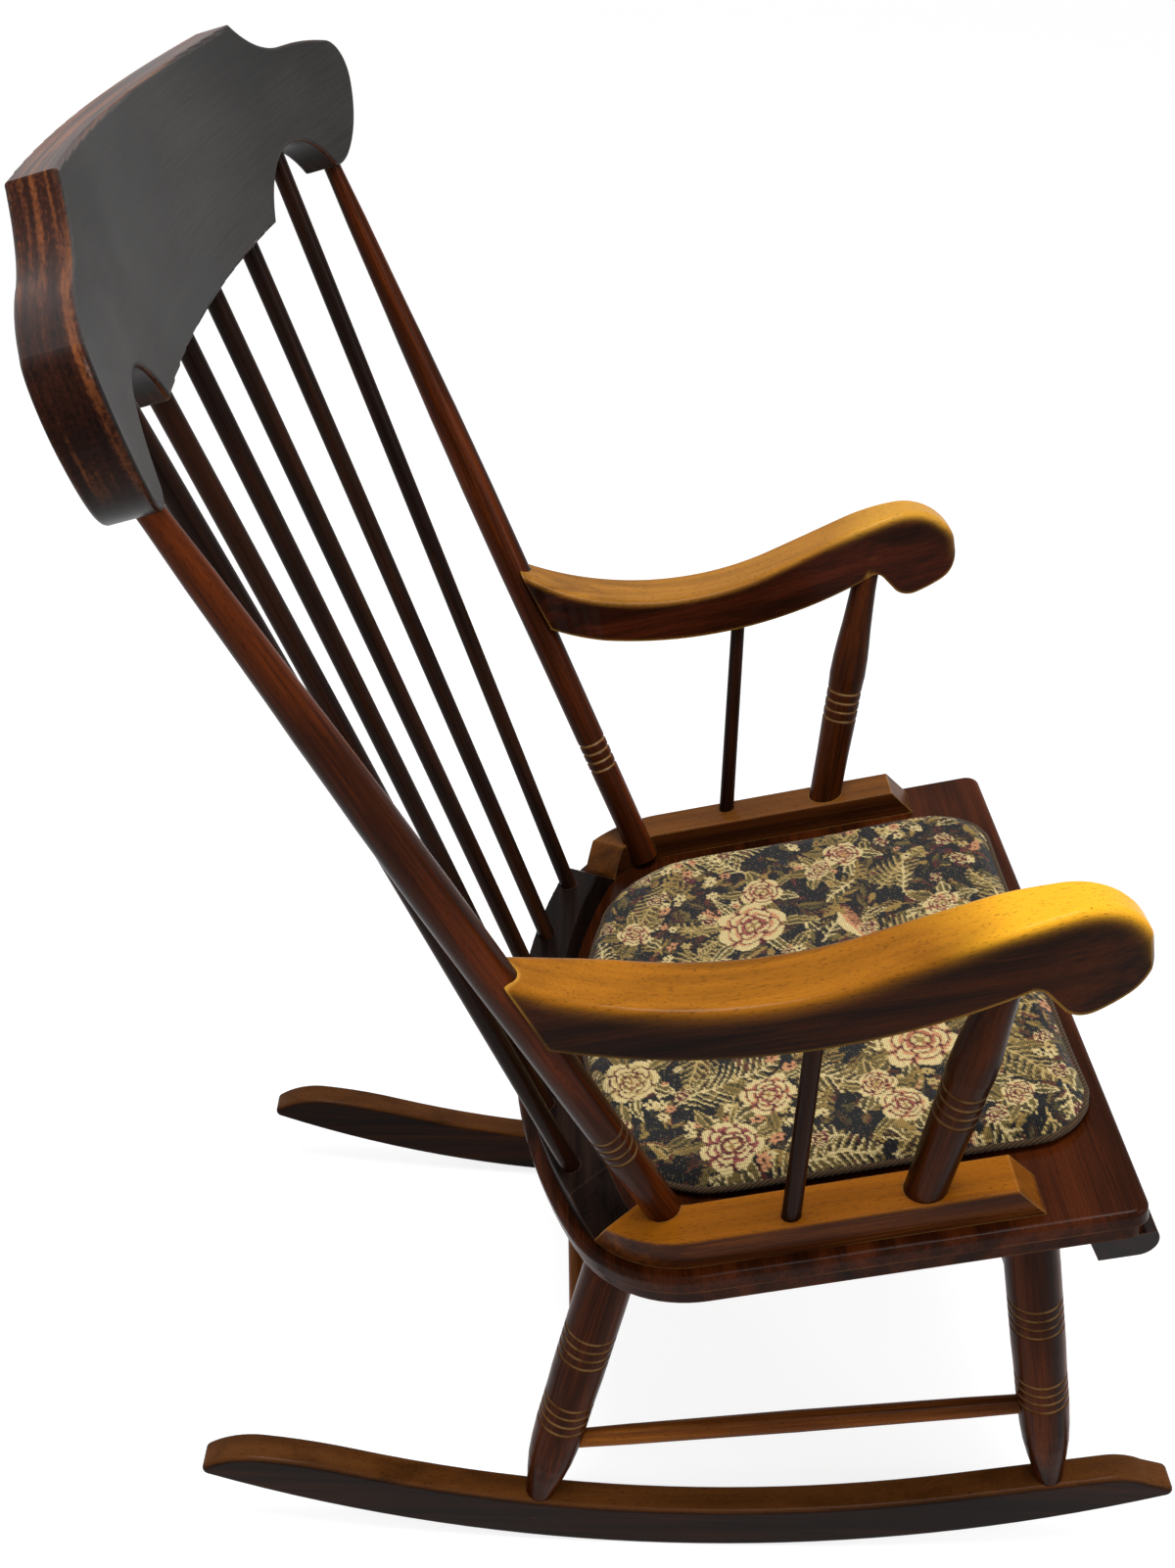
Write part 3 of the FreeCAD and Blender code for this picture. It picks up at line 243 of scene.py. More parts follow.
FIGURE_WAVES = (3.0, 95.0, 60.0)
BROAD_FIGURE_WAVES = (3.0, 57.0, 36.0)
BENT_FIGURE_WAVES = (4.0, 260.0, 10.0)
DRIFT_WAVES = (5.0, 16.0, 16.0)
LINE_WAVES = (14.0, 620.0, 620.0)
FLECK_WAVES = (210.0, 1100.0, 1100.0)
RING_DIRT_WAVES = (70.0, 70.0, 70.0)
FIGURE_WEIGHT = 0.62
DRIFT_WEIGHT = 0.3
LINES_WEIGHT = 0.28
STAIN_STOPS = (0.42, 0.58, 0.78)
FACE_STOPS = (0.4, 0.6, 0.8)
FLECK_SHARE = 0.42
SEED_SLANT = 0.37
FACING_FULL = 0.8
SPOT_ROLL = 0.012
GRAIN_DEPTH = 0.0003
STAIN_SPECULAR = 0.03
COAT_ROUGHNESS = 0.09
RING_TAN = "80603a"
RING_SHIFT = 40
RING_FLOOR_SHARE = 0.15
RING_EDGE_SHARE = 0.42
UP = (0, 0, 1)
DOWN = (0, 0, -1)


def ring_share(finish, place, rings):
    """1 in the cuts of a turned piece and 0 beside them, from its coordinates and its rings.

    Each group of rings is (start of the first cut, number, pitch, width of a cut). The places are
    shifted by whole pitches, so that none is negative.
    """
    along_piece = finish.node("ShaderNodeSeparateXYZ", {0: place}).outputs["X"]
    share = 0.0
    for first, count, pitch, width in rings:
        middle_place = first + (count - 1) * pitch / 2 + width / 2
        from_middle = finish.sum("ABSOLUTE", finish.sum("SUBTRACT", along_piece, middle_place))
        inside = finish.sum("LESS_THAN", from_middle, count * pitch / 2)
        phase = finish.sum("SUBTRACT", along_piece, first + width / 2)
        phase = finish.sum("ADD", phase, pitch * RING_SHIFT)
        off = finish.sum("ABSOLUTE", finish.sum("PINGPONG", phase, pitch / 2))
        beside = finish.spread(off, width * RING_FLOOR_SHARE, width * RING_EDGE_SHARE)
        line = finish.sum("SUBTRACT", 1.0, beside)
        share = finish.sum("MULTIPLY_ADD", inside, line, share)
    return share


def spot_share(finish, spot, reach, drift):
    """1 about a spot on the upper side and 0 a reach away from it, with an uneven edge."""
    place = finish.node("ShaderNodeTexCoord").outputs["Object"]
    inputs = {0: place, 1: spot}
    away = finish.node("ShaderNodeVectorMath", inputs, operation="DISTANCE").outputs["Value"]
    away = finish.sum("MULTIPLY_ADD", finish.sum("SUBTRACT", drift, 0.5), reach * 0.9, away)
    near = finish.sum("SUBTRACT", 1.0, finish.spread(away, reach * 0.45, reach))
    return finish.sum("MULTIPLY", near, finish.spread(finish.facing(UP, soft=SPOT_ROLL), 0.05, 0.6))


def stained_beech(name, centre, along, across, tones, worn, gloss=0.24, coat=0.025, wear=0.7,
                  edge=0.003, waves=FIGURE_WAVES, seed=0.0, painted_light_side=None, roll=0.006, roll_from=0.35,
                  rings=None, faces=None, bow=None, rubbed_and_highlight=None):
    """Stained and lacquered beech: long figure, fine lines, short dark flecks and paler edges.

    tones are the dark, middle and light stain, and worn is the edges'. The lit or shaded side is
    (direction, colours, share): painted light or shade, a side that faces a direction painted
    lighter or darker in colours of its own, which reaches over edges rounded by roll, as far as the
    facing is roll_from. rings are the cuts of a turned piece. faces is (direction, tones) for a
    board whose two faces have a stain of their own. bow is (axis, along, across, radius) for a
    bent board. The rubbed spot is (spot, reach, colour) for a spot worn bright by hands, with a
    painted highlight in its colour too.
    """
    finish = Finish(name)
    place = finish.bowed(*bow) if bow else finish.local(centre, along, across)
    place = finish.node("ShaderNodeVectorMath", {0: place, 1: (seed, seed * SEED_SLANT, 0.0)},
                        operation="ADD").outputs["Vector"]
    bands = finish.noise(place, waves, detail=3, rough=0.55, warp=0.25)
    drift = finish.noise(place, DRIFT_WAVES, detail=2)
    lines = finish.noise(place, LINE_WAVES, detail=2)
    flecks = finish.noise(place, FLECK_WAVES, detail=1)
    colours = [tone(code) for code in tones]
    level = finish.sum("MULTIPLY", lines, LINES_WEIGHT)
    level = finish.sum("MULTIPLY_ADD", drift, DRIFT_WEIGHT, level)
    level = finish.sum("MULTIPLY_ADD", bands, FIGURE_WEIGHT, level)
    stain = finish.ramp(level, list(zip(STAIN_STOPS, colours)))
    if faces:
        direction, face_tones = faces
        face_colours = [tone(code) for code in face_tones]
        face_stain = finish.ramp(level, list(zip(FACE_STOPS, face_colours)))
        flat = finish.sum("ABSOLUTE", finish.facing(direction))
        stain = finish.blended(finish.spread(flat, 0.62, 0.86), stain, face_stain)
    # Painted light or shade: the side that faces the given direction is painted lighter or darker
    # in colours of its own, as light falls on it.
    if painted_light_side:
        direction, (deep, pale), share = painted_light_side
        up = finish.spread(finish.facing(direction, soft=roll), roll_from, FACING_FULL)
        patch = finish.spread(finish.sum("ADD", bands, drift), 0.55, 1.25)
        share = finish.sum("MULTIPLY", up, finish.sum("MULTIPLY_ADD", patch, 0.45, share))
        lit_or_shaded_colour = finish.blended(finish.sum("MULTIPLY", level, 0.85), tone(deep), tone(pale))
        stain = finish.blended(finish.sum("MINIMUM", share, 1.0), stain, lit_or_shaded_colour)
    # A spot on top worn bright by hands, whose colour also holds a painted highlight.
    if rubbed_and_highlight:
        spot, reach, colour = rubbed_and_highlight
        stain = finish.blended(spot_share(finish, spot, reach, drift), stain, tone(colour))
    fleck_share = finish.sum("MULTIPLY", finish.spread(flecks, 0.6, 0.7), FLECK_SHARE)
    stain = finish.blended(fleck_share, stain, colours[0])
    paled = finish.sum("MULTIPLY", finish.edge_share(edge), finish.spread(drift, 0.3, 0.62))
    stain = finish.blended(finish.sum("MULTIPLY", paled, wear), stain, tone(worn))
    if rings:
        share = ring_share(finish, finish.local(centre, along, across), rings)
        dirt = finish.spread(finish.noise(place, RING_DIRT_WAVES), 0.3, 0.62)
        share = finish.sum("MULTIPLY", share, finish.sum("MULTIPLY_ADD", dirt, 0.6, 0.3))
        stain = finish.blended(share, stain, tone(RING_TAN))
    roughness = finish.sum("MULTIPLY_ADD", drift, 0.16, gloss - 0.05)
    height = finish.sum("MULTIPLY_ADD", lines, 0.22, finish.sum("MULTIPLY", bands, 0.5))
    return finish.shade(stain, roughness, height, GRAIN_DEPTH, specular_ior_level=STAIN_SPECULAR,
                        coat_weight=coat, coat_roughness=COAT_ROUGHNESS)


def paint(node, material):
    """Gives a CAD node its finish, in every material slot that it has."""
    for slot in nodes[node].material_slots:
        slot.material = material


def centre_of(node):
    low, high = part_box(node)
    return (Vector(low) + Vector(high)) / 2


# Turned pieces. rings are (share of the seen length where they start, number of cuts), and ends are
# the lengths hidden in the sockets at the foot and the top, in millimetres.

RING_PITCH = 8.4 * MM
RING_WIDTH = 3.6 * MM
LEG = dict(tones=("150702", "301204", "58280c"), worn="6d3f1c", rings=((0.265, 4), (0.5, 4)),
           ends=(22, 19))
TURNED = {
    "back_post": dict(tones=("170702", "331304", "60290b"), worn="7a4420", rings=((0.122, 4),),
                      ends=(20, 22)),
    "back_spindle": dict(tones=("0b0503", "190c07", "301608"), worn="43230f", rings=(),
                         ends=(17, 22)),
    "arm_post": dict(tones=("120602", "280f03", "48200a"), worn="603616", rings=((0.36, 4),),
                     ends=(20, 16)),
    "arm_spindle": dict(tones=("0d0503", "1c0c06", "33180b"), worn="43230f", rings=(),
                        ends=(17, 16)),
    "front_leg": LEG,
    "rear_leg": LEG,
}
TURNED_SEED = 11
STRETCHERS = ("side_stretcher", "front_cross_stretcher", "rear_cross_stretcher")
STRETCHER_TONES = ("34190a", "633514", "95591f")
STRETCHER_WORN = "9a6a34"


def axis_of(node):
    """The long axis of a turned piece, from its mesh: lower end, direction and length."""
    mesh = nodes[node].data
    count = len(mesh.polygons)
    areas = np.zeros(count)
    centres = np.zeros(count * 3)
    mesh.polygons.foreach_get("area", areas)
    mesh.polygons.foreach_get("center", centres)
    centres = centres.reshape(-1, 3)
    middle = (centres * areas[:, None]).sum(0) / areas.sum()
    spread = (centres - middle) * np.sqrt(areas)[:, None]
    direction = np.linalg.svd(spread.T @ spread)[0][:, 0]
    if direction[2] < 0:
        direction = -direction
    points = np.zeros(len(mesh.vertices) * 3)
    mesh.vertices.foreach_get("co", points)
    along = (points.reshape(-1, 3) - middle) @ direction
    length = float(along.max() - along.min())
    return Vector(middle + direction * along.min()), Vector(direction), length


def nodes_of(kind):
    return sorted(name for name in nodes if name.startswith(kind))


def finish_turned():
    rng = random.Random(TURNED_SEED)
    for kind, look in TURNED.items():
        for node in nodes_of(kind):
            foot, along, length = axis_of(node)
            foot_end, top_end = (end * MM for end in look["ends"])
            seen = length - foot_end - top_end
            cuts = [(foot_end + share * seen, count, RING_PITCH, RING_WIDTH)
                    for share, count in look["rings"]]
            paint(node, stained_beech(
                f"wood_{node}", foot, along, (1, 0, 0), look["tones"], look["worn"], gloss=0.26,
                coat=0.03, wear=0.2, edge=0.002, seed=rng.uniform(0, 3), rings=cuts))
    for kind in STRETCHERS:
        for node in nodes_of(kind):
            foot, along, _ = axis_of(node)
            paint(node, stained_beech(
                f"wood_{node}", foot, along, UP, STRETCHER_TONES, STRETCHER_WORN, gloss=0.28,
                coat=0.025, wear=0.2, edge=0.002, seed=rng.uniform(0, 3)))


def finish_boards():
    up = turned_to_rest(0, 0, 1)
    back = turned_to_rest(0, 1, 0)
    side = Vector((1, 0, 0))
    paint("seat_board", stained_beech(
        "wood_seat", centre_of("seat_board"), side, back, ("120602", "2a1004", "4a200a"), "7d5232",
        coat=0.04, wear=0.55, edge=0.0025, waves=BROAD_FIGURE_WAVES, seed=0.3))
    paint("front_roll", stained_beech(
        "wood_roll", centre_of("front_roll"), side, back, ("080403", "120806", "25120b"), "4e2d1b",
        gloss=0.16, coat=0.25, wear=0.5, seed=1.3))
    paint("back_rim", stained_beech(
        "wood_back_rim", centre_of("back_rim"), side, back, ("070404", "100a08", "221611"),
        "5a4030", gloss=0.34, coat=0.02, wear=0.45, edge=0.002, seed=1.7))
    paint("arm_dowels", stained_beech(
        "wood_dowels", centre_of("arm_dowels"), side, back, ("4a2812", "75441e", "9c6a34"),
        "a87a44", gloss=0.3, coat=0.03, seed=0.7))
    # The side rims are lit and shaded copies of one finish, as painted light: the near rim,
    # side_rim_right, is lighter, and its top is painted golden where the far rim's top is brown.
    for node, tones, gold, share, seed in (
            ("side_rim_right", ("1d0c05", "3f1e0c", "6b3a14"), ("7d430a", "b46c16"), 0.62, 0.9),
            ("side_rim_left", ("150804", "301607", "4e270e"), ("4c2a10", "7a4a1c"), 0.5, 2.1)):
        paint(node, stained_beech(
            f"wood_{node}", centre_of(node), back, side, tones, "b98c4e", gloss=0.26, coat=0.035,
            wear=0.6, edge=0.0022, seed=seed, painted_light_side=(up, gold, share)))
    # The rockers' upper sides are painted lighter brown as painted light; their other sides keep
    # the near-black stain.
    for node, seed in (("rocker_right", 1.1), ("rocker_left", 2.7)):
        paint(node, stained_beech(
            f"wood_{node}", centre_of(node), (0, 1, 0), UP, ("090301", "170802", "2e1406"),
            "7d5535", gloss=0.25, coat=0.035, wear=0.6, seed=seed,
            painted_light_side=(UP, ("3a1d0a", "6a401c"), 0.5)))


def finish_crest():
    side = Vector((1, 0, 0))
    face = turned_to_rest(0, -math.cos(CREST_LEAN), math.sin(CREST_LEAN))
    bow_axis = at_rest(*CREST_FOOT) + face * CREST_RADIUS
    # The crest's underside is painted near black as painted shade.
    paint("crest_rail", stained_beech(
        "wood_crest", centre_of("crest_rail"), side, face, ("0d0503", "2a120a", "6a3b1e"),
        "8a705c", gloss=0.3, coat=0.03, wear=0.5, waves=BENT_FIGURE_WAVES, seed=0.5,
        bow=(bow_axis, side, face, CREST_RADIUS), faces=(face, ("121110", "1d1b1a", "2d2a28")),
        painted_light_side=(DOWN, ("060302", "140a06"), 0.7)))


# Arms, golden on top as painted light, and bright at the nose, where the hands lie and wear them,
# with a painted highlight there too. The near arm, arm_right, has a brighter golden top and nose
# spot than the far one, reaching farther over its outer edge. nose is its place on the level chair
# in millimetres. roll, the rounding of the golden side's edge, is in metres, and so is the reach of
# the bright spot.

ARM_WORN = "cf9a3e"
NOSE_REACH = 0.13
ARMS = {
    "arm_right": dict(tones=("0c0402", "1d0b04", "3c1a08"), gold=("6c3d0a", "a86a18"), share=0.6,
                      roll=0.022, roll_from=0.05, seed=0.2, nose=(-262, 4, 284), bright="e0a024"),
    "arm_left": dict(tones=("120502", "260d04", "44190a"), gold=("7c4a12", "b27a28"), share=0.5,
                     roll=0.012, roll_from=0.3, seed=1.9, nose=(262, 4, 284), bright="b8842c"),
}


def finish_arms():
    back = turned_to_rest(0, 1, 0)
    for node, look in ARMS.items():
        paint(node, stained_beech(
            f"wood_{node}", centre_of(node), back, (1, 0, 0), look["tones"], ARM_WORN, gloss=0.22,
            coat=0.04, wear=0.5, edge=0.004, seed=look["seed"], roll=look["roll"],
            roll_from=look["roll_from"], painted_light_side=(UP, look["gold"], look["share"]),
            rubbed_and_highlight=(at_rest(*look["nose"]), NOSE_REACH, look["bright"])))


# Cushion outline on the level chair, in millimetres

CUSHION_HALF_WIDTH = 203
CUSHION_FRONT_Y = 5
CUSHION_FRONT_CORNER = 50
CUSHION_BACK_CORNER = 95
CUSHION_BACK_RADIUS = 452
CUSHION_BACK_CENTRE_Y = -76
CUSHION_UNDER = 0.3
CUSHION_TOP = 17.3


def arc(centre_x, centre_y, radius, start, end, steps):
    turns = [math.radians(start + (end - start) * i / steps) for i in range(steps + 1)]
    return [(centre_x + radius * math.cos(a), centre_y + radius * math.sin(a)) for a in turns]


def cushion_outline(inset=0.0):
    """The cushion's edge as a closed run of points, drawn in by an inset."""
    half = CUSHION_HALF_WIDTH - inset
    corner = CUSHION_BACK_CORNER - inset
    front_corner = CUSHION_FRONT_CORNER - inset
    back = CUSHION_BACK_RADIUS - inset
    corner_x = half - corner
    corner_y = CUSHION_BACK_CENTRE_Y + math.sqrt((back - corner) ** 2 - corner_x ** 2)
    meet = math.degrees(math.atan2(corner_y - CUSHION_BACK_CENTRE_Y, corner_x))
    front_y = CUSHION_FRONT_Y + inset
    right = [(x, front_y) for x in np.linspace(0, half - front_corner, 12)[:-1]]
    right += arc(half - front_corner, front_y + front_corner, front_corner, -90, 0, 14)
    right += [(half, y) for y in np.linspace(front_y + front_corner, corner_y, 16)[1:-1]]
    right += arc(corner_x, corner_y, corner, 0, meet, 18)
    right += arc(0, CUSHION_BACK_CENTRE_Y, back, meet, 90, 14)[1:]
    left = [(-x, y) for x, y in right[-2:0:-1]]
    return right + left


# Cushion. The START shares are the size of the copy that is blown up, and no point of it moves by
# more than SWELL_CAP. Faces that look up by more than UPWARD are cut finer, for the tapestry, and
# TOP_ROOM is how far the cover may rise above its solid. Lengths are in metres.

VOXEL = 5 * MM
PRESSURE = 4.0
SWELL_CAP = 6 * MM
START_WIDTH_SHARE = 0.985
START_HEIGHT_SHARE = 0.8
CLOTH_QUALITY = 5
CLOTH_FRAMES = 20
UPWARD = 0.2
TOP_ROOM = 2 * MM


def apply_modifier(piece, name):
    bpy.context.view_layer.objects.active = piece
    piece.select_set(True)
    bpy.ops.object.modifier_apply(modifier=name)
    piece.select_set(False)


def points_of(mesh):
    points = np.zeros(len(mesh.vertices) * 3)
    mesh.vertices.foreach_get("co", points)
    return points.reshape(-1, 3)


def set_points(mesh, points):
    mesh.vertices.foreach_set("co", points.ravel())
    mesh.update()


def swell(piece):
    """Fills the cover with air by a cloth simulation, and keeps each point within a cap."""
    before = points_of(piece.data)
    cloth = piece.modifiers.new("Filling", "CLOTH")
    cloth.settings.quality = CLOTH_QUALITY
    cloth.settings.use_pressure = True
    cloth.settings.uniform_pressure_force = PRESSURE
    cloth.settings.effector_weights.gravity = 0
    cloth.collision_settings.use_collision = False
    for number in range(1, CLOTH_FRAMES + 1):
        scene.frame_set(number)
    swollen = piece.evaluated_get(bpy.context.evaluated_depsgraph_get())
    after = points_of(swollen.data)
    piece.modifiers.remove(cloth)
    scene.frame_set(1)
    move = after - before
    reach = np.linalg.norm(move, axis=1)
    move *= np.minimum(1.0, SWELL_CAP / np.maximum(reach, 1e-9))[:, None]
    set_points(piece.data, before + move)


def cushion_body():
    """The padded cushion, blown up on the level chair from a slightly smaller copy of its solid."""
    mesh = nodes["seat_cushion"].data.copy()
    mesh.name = "cushion"
    mesh.transform(LEVEL_TO_REST.inverted())
    piece = bpy.data.objects.new("cushion", mesh)
    scene.collection.objects.link(piece)
    mesh.materials.clear()
    points = points_of(mesh)
    middle_y = points[:, 1].mean()
    points[:, 0] *= START_WIDTH_SHARE
    points[:, 1] = middle_y + (points[:, 1] - middle_y) * START_WIDTH_SHARE
    points[:, 2] *= START_HEIGHT_SHARE
    set_points(mesh, points)
    remesh = piece.modifiers.new("Cover", "REMESH")
    remesh.mode = "VOXEL"
    remesh.voxel_size = VOXEL
    apply_modifier(piece, "Cover")
    swell(piece)
    rounded = piece.modifiers.new("Rounded", "SUBSURF")
    rounded.levels = 1
    rounded.render_levels = 1
    apply_modifier(piece, "Rounded")
    build = bmesh.new()
    build.from_mesh(piece.data)
    upper = [face for face in build.faces if face.normal.z > UPWARD]
    edges = list({edge for face in upper for edge in face.edges})
    bmesh.ops.subdivide_edges(build, edges=edges, cuts=1, use_grid_fill=True)
    bmesh.ops.triangulate(build, faces=[face for face in build.faces if len(face.verts) > 4])
    build.to_mesh(piece.data)
    build.free()
    points = points_of(piece.data)
    points[:, 2] = np.clip(points[:, 2], CUSHION_UNDER * MM, CUSHION_TOP * MM + TOP_ROOM)
    set_points(piece.data, points)
    return piece


# Tapestry: a traditional flower and fern pattern, worked out from these motifs in millimetres.
# RIB is a row's width and COMB how far a row is off. WAVERS are (length, reach, phases) of the
# waves that make the rows uneven.

YARN = {name: np.array(tone(code)) for name, code in {
    "ink": "120f11", "navy": "1b2028", "umber": "371f11", "rust": "5c2c1a", "maroon": "5a2122",
    "moss": "423a1e", "olive": "6e5c2e", "gold": "9c7d40", "straw": "c2a565", "cream": "e0c88c",
    "peach": "cf8f63", "salmon": "b8704f", "rose": "9c4e48",
}.items()}
RIB = 1.3
COMB = 0.7
COMB_SEED = 5
PATTERN_SEED = 23
WAVERS = ((12, 1.9, (0.4, 2.1)), (5.3, 1.0, (1.7, 0.6)))
SPRIGS = 1700
LEAVES = 150
SMALL_FERNS = 56
POSIES = 60
BUDS = 60


class Tapestry:
    """Colours laid on the points of the cushion, motif over motif, with a weaver's uneven hand."""

    def __init__(self, points):
        rng = np.random.default_rng(COMB_SEED)
        rows = np.round(points[:, 1] / RIB).astype(int)
        comb = rng.uniform(-COMB, COMB, rows.max() - rows.min() + 1)[rows - rows.min()]
        self.points = np.column_stack([points[:, 0] + comb, rows * RIB])
        for length, reach, phases in WAVERS:
            self.points += np.sin(self.points[:, ::-1] / length + phases) * reach
        self.colours = np.tile(YARN["ink"], (len(points), 1))

    def near(self, centre, heading, reach):
        shift = self.points - np.array(centre)
        found = np.flatnonzero(np.abs(shift).max(1) < reach)
        turn = math.radians(heading)
        u = shift[found, 0] * math.cos(turn) + shift[found, 1] * math.sin(turn)
        v = shift[found, 1] * math.cos(turn) - shift[found, 0] * math.sin(turn)
        return found, u, v

    def lay(self, found, mask, colour):
        self.colours[found[mask]] = YARN[colour]

    def leaf(self, foot, heading, length, width, dark, light, rim=None):
        found, u, v = self.near(foot, heading, length)
        along = np.clip(u / length, 0, 1)
        half = width * np.sin(np.pi * along ** 0.8) ** 0.9
        inside = (u > 0) & (u < length) & (np.abs(v) < half)
        self.lay(found, inside, dark)
        self.lay(found, inside & (v > 0) & (v < half * 0.8), light)
        vein = np.mod(u - np.abs(v) * 0.9, 4.6) < 1.1
        self.lay(found, inside & vein & (v < 0), light)
        if rim:
            self.lay(found, inside & (np.abs(v) > half - 0.9), rim)
            self.lay(found, inside & (np.abs(v) < 0.6), rim)

    def fern(self, foot, heading, length, width, body, light, bend):
        found, u, v = self.near(foot, heading, length + width)
        v = v - bend * (u / length) ** 2 * length
        along = np.clip(u / length, 0, 1)
        half = width * np.sin(np.pi * (0.1 + 0.9 * along)) ** 0.75
        slanted = u - np.abs(v) * 0.75
        share = np.mod(slanted, 6.2) / 6.2
        taper = 0.72 - 0.42 * np.abs(v) / np.maximum(half, 0.1)
        inside = (u > 0) & (u < length + 6) & (np.abs(v) < half)
        self.lay(found, inside & (share < taper), body)
        self.lay(found, inside & (share < taper * 0.42), light)
        self.lay(found, (u > -6) & (u < length) & (np.abs(v) < 0.8), light)

    def rose(self, centre, radius, spin, outer, inner, heart, petals):
        found, u, v = self.near(centre, spin, radius * 1.2)
        reach = np.hypot(u, v)
        turn = np.arctan2(v, u)
        layers = ((1.0, petals, 0.0, outer), (0.72, petals - 1, 0.8, outer),
                  (0.48, 5, 1.9, inner), (0.25, 4, 0.3, heart))
        for share, count, phase, colour in layers:
            wave = np.abs(np.sin(count / 2 * turn + phase))
            edge = radius * share * (0.78 + 0.22 * wave ** 0.55)
            inside = reach < edge
            depth = reach / np.maximum(edge, 0.1)
            self.lay(found, inside, colour)
            lip = "straw" if colour == heart else "cream"
            self.lay(found, inside & (depth > 0.8) & (wave > 0.35), lip)
            self.lay(found, inside & (depth < 0.82 - share * 0.1) & (wave < 0.5), "salmon")
            self.lay(found, inside & (wave < 0.2), "maroon")
            self.lay(found, (reach > edge) & (reach < edge + 1.1) & (share < 1), "maroon")
        self.lay(found, reach < radius * 0.1, "gold")

    def daisy(self, centre, radius, spin, colour, petals):
        found, u, v = self.near(centre, spin, radius * 1.2)
        reach = np.hypot(u, v)
        wave = np.abs(np.sin(petals / 2 * np.arctan2(v, u)))
        self.lay(found, reach < radius * (0.35 + 0.65 * wave ** 0.7), colour)
        self.lay(found, reach < radius * 0.26, "umber")

    def bird(self, centre, heading, size):
        found, u, v = self.near(centre, heading, size * 1.6)
        body = (u / size) ** 2 + (v / (size * 0.36)) ** 2 < 1
        self.lay(found, body, "peach")
        self.lay(found, body & (v < -size * 0.08), "cream")
        wing = body & (v > size * 0.02) & (u < size * 0.3)
        self.lay(found, wing & (np.mod(u - v, 4) < 2), "rust")
        head = np.hypot(u - size * 0.98, v - size * 0.26) < size * 0.22
        self.lay(found, head, "salmon")
        behind = (u < -size * 0.7) & (u > -size * 1.5)
        self.lay(found, behind & (np.abs(v - (u + size) * 0.12) < size * 0.09), "gold")


# Roses: centre, radius, turn, colours of the outer petals, inner petals and heart, and petals

ROSES = [
    ((72, 223), 29, 20, "peach", "rose", "cream", 6),
    ((113, 208), 18, 70, "peach", "salmon", "cream", 5),
    ((147, 137), 17, 10, "salmon", "rose", "peach", 5),
    ((133, 160), 12, 40, "peach", "salmon", "cream", 5),
    ((-93, 117), 28, 50, "peach", "salmon", "cream", 6),
    ((-153, 139), 17, 15, "peach", "rose", "cream", 5),
    ((-128, 152), 14, 80, "peach", "salmon", "straw", 5),
    ((-165, 262), 23, 35, "rose", "maroon", "cream", 7),
    ((-85, 330), 22, 5, "straw", "gold", "cream", 6),
    ((-121, 228), 20, 60, "salmon", "rose", "cream", 6),
    ((-159, 62), 12, 25, "peach", "rose", "cream", 5),
    ((-140, 84), 11, 90, "peach", "salmon", "cream", 5),
    ((88, 318), 15, 45, "peach", "salmon", "cream", 5),
    ((5, 300), 24, 30, "peach", "rose", "cream", 6),
    ((-20, 60), 25, 75, "salmon", "rose", "cream", 6),
    ((-8, 178), 20, 12, "rose", "maroon", "straw", 6),
    ((60, 70), 15, 33, "peach", "salmon", "cream", 5),
    ((-30, 345), 13, 10, "salmon", "rose", "cream", 5),
]

# Ferns: foot, heading, length, width and bend

FERNS = [
    ((-117, 292), -72, 82, 21, 0.1), ((-192, 236), -78, 80, 20, -0.1),
    ((-105, 205), -115, 60, 16, 0.1), ((176, 282), -92, 92, 21, 0.12),
    ((150, 290), 160, 60, 17, -0.1), ((150, 226), 35, 48, 14, 0.1),
    ((40, 255), 100, 60, 18, 0.15), ((20, 130), -60, 66, 19, 0.1),
    ((-60, 170), 60, 58, 17, -0.1), ((-60, 268), 150, 52, 15, 0.1),
    ((95, 110), -30, 58, 17, -0.15), ((40, 20), 12, 60, 15, 0.1),
    ((-110, 60), -150, 56, 16, 0.12), ((30, 345), 10, 56, 14, -0.1),
    ((-70, 30), 100, 50, 14, 0.1),
]


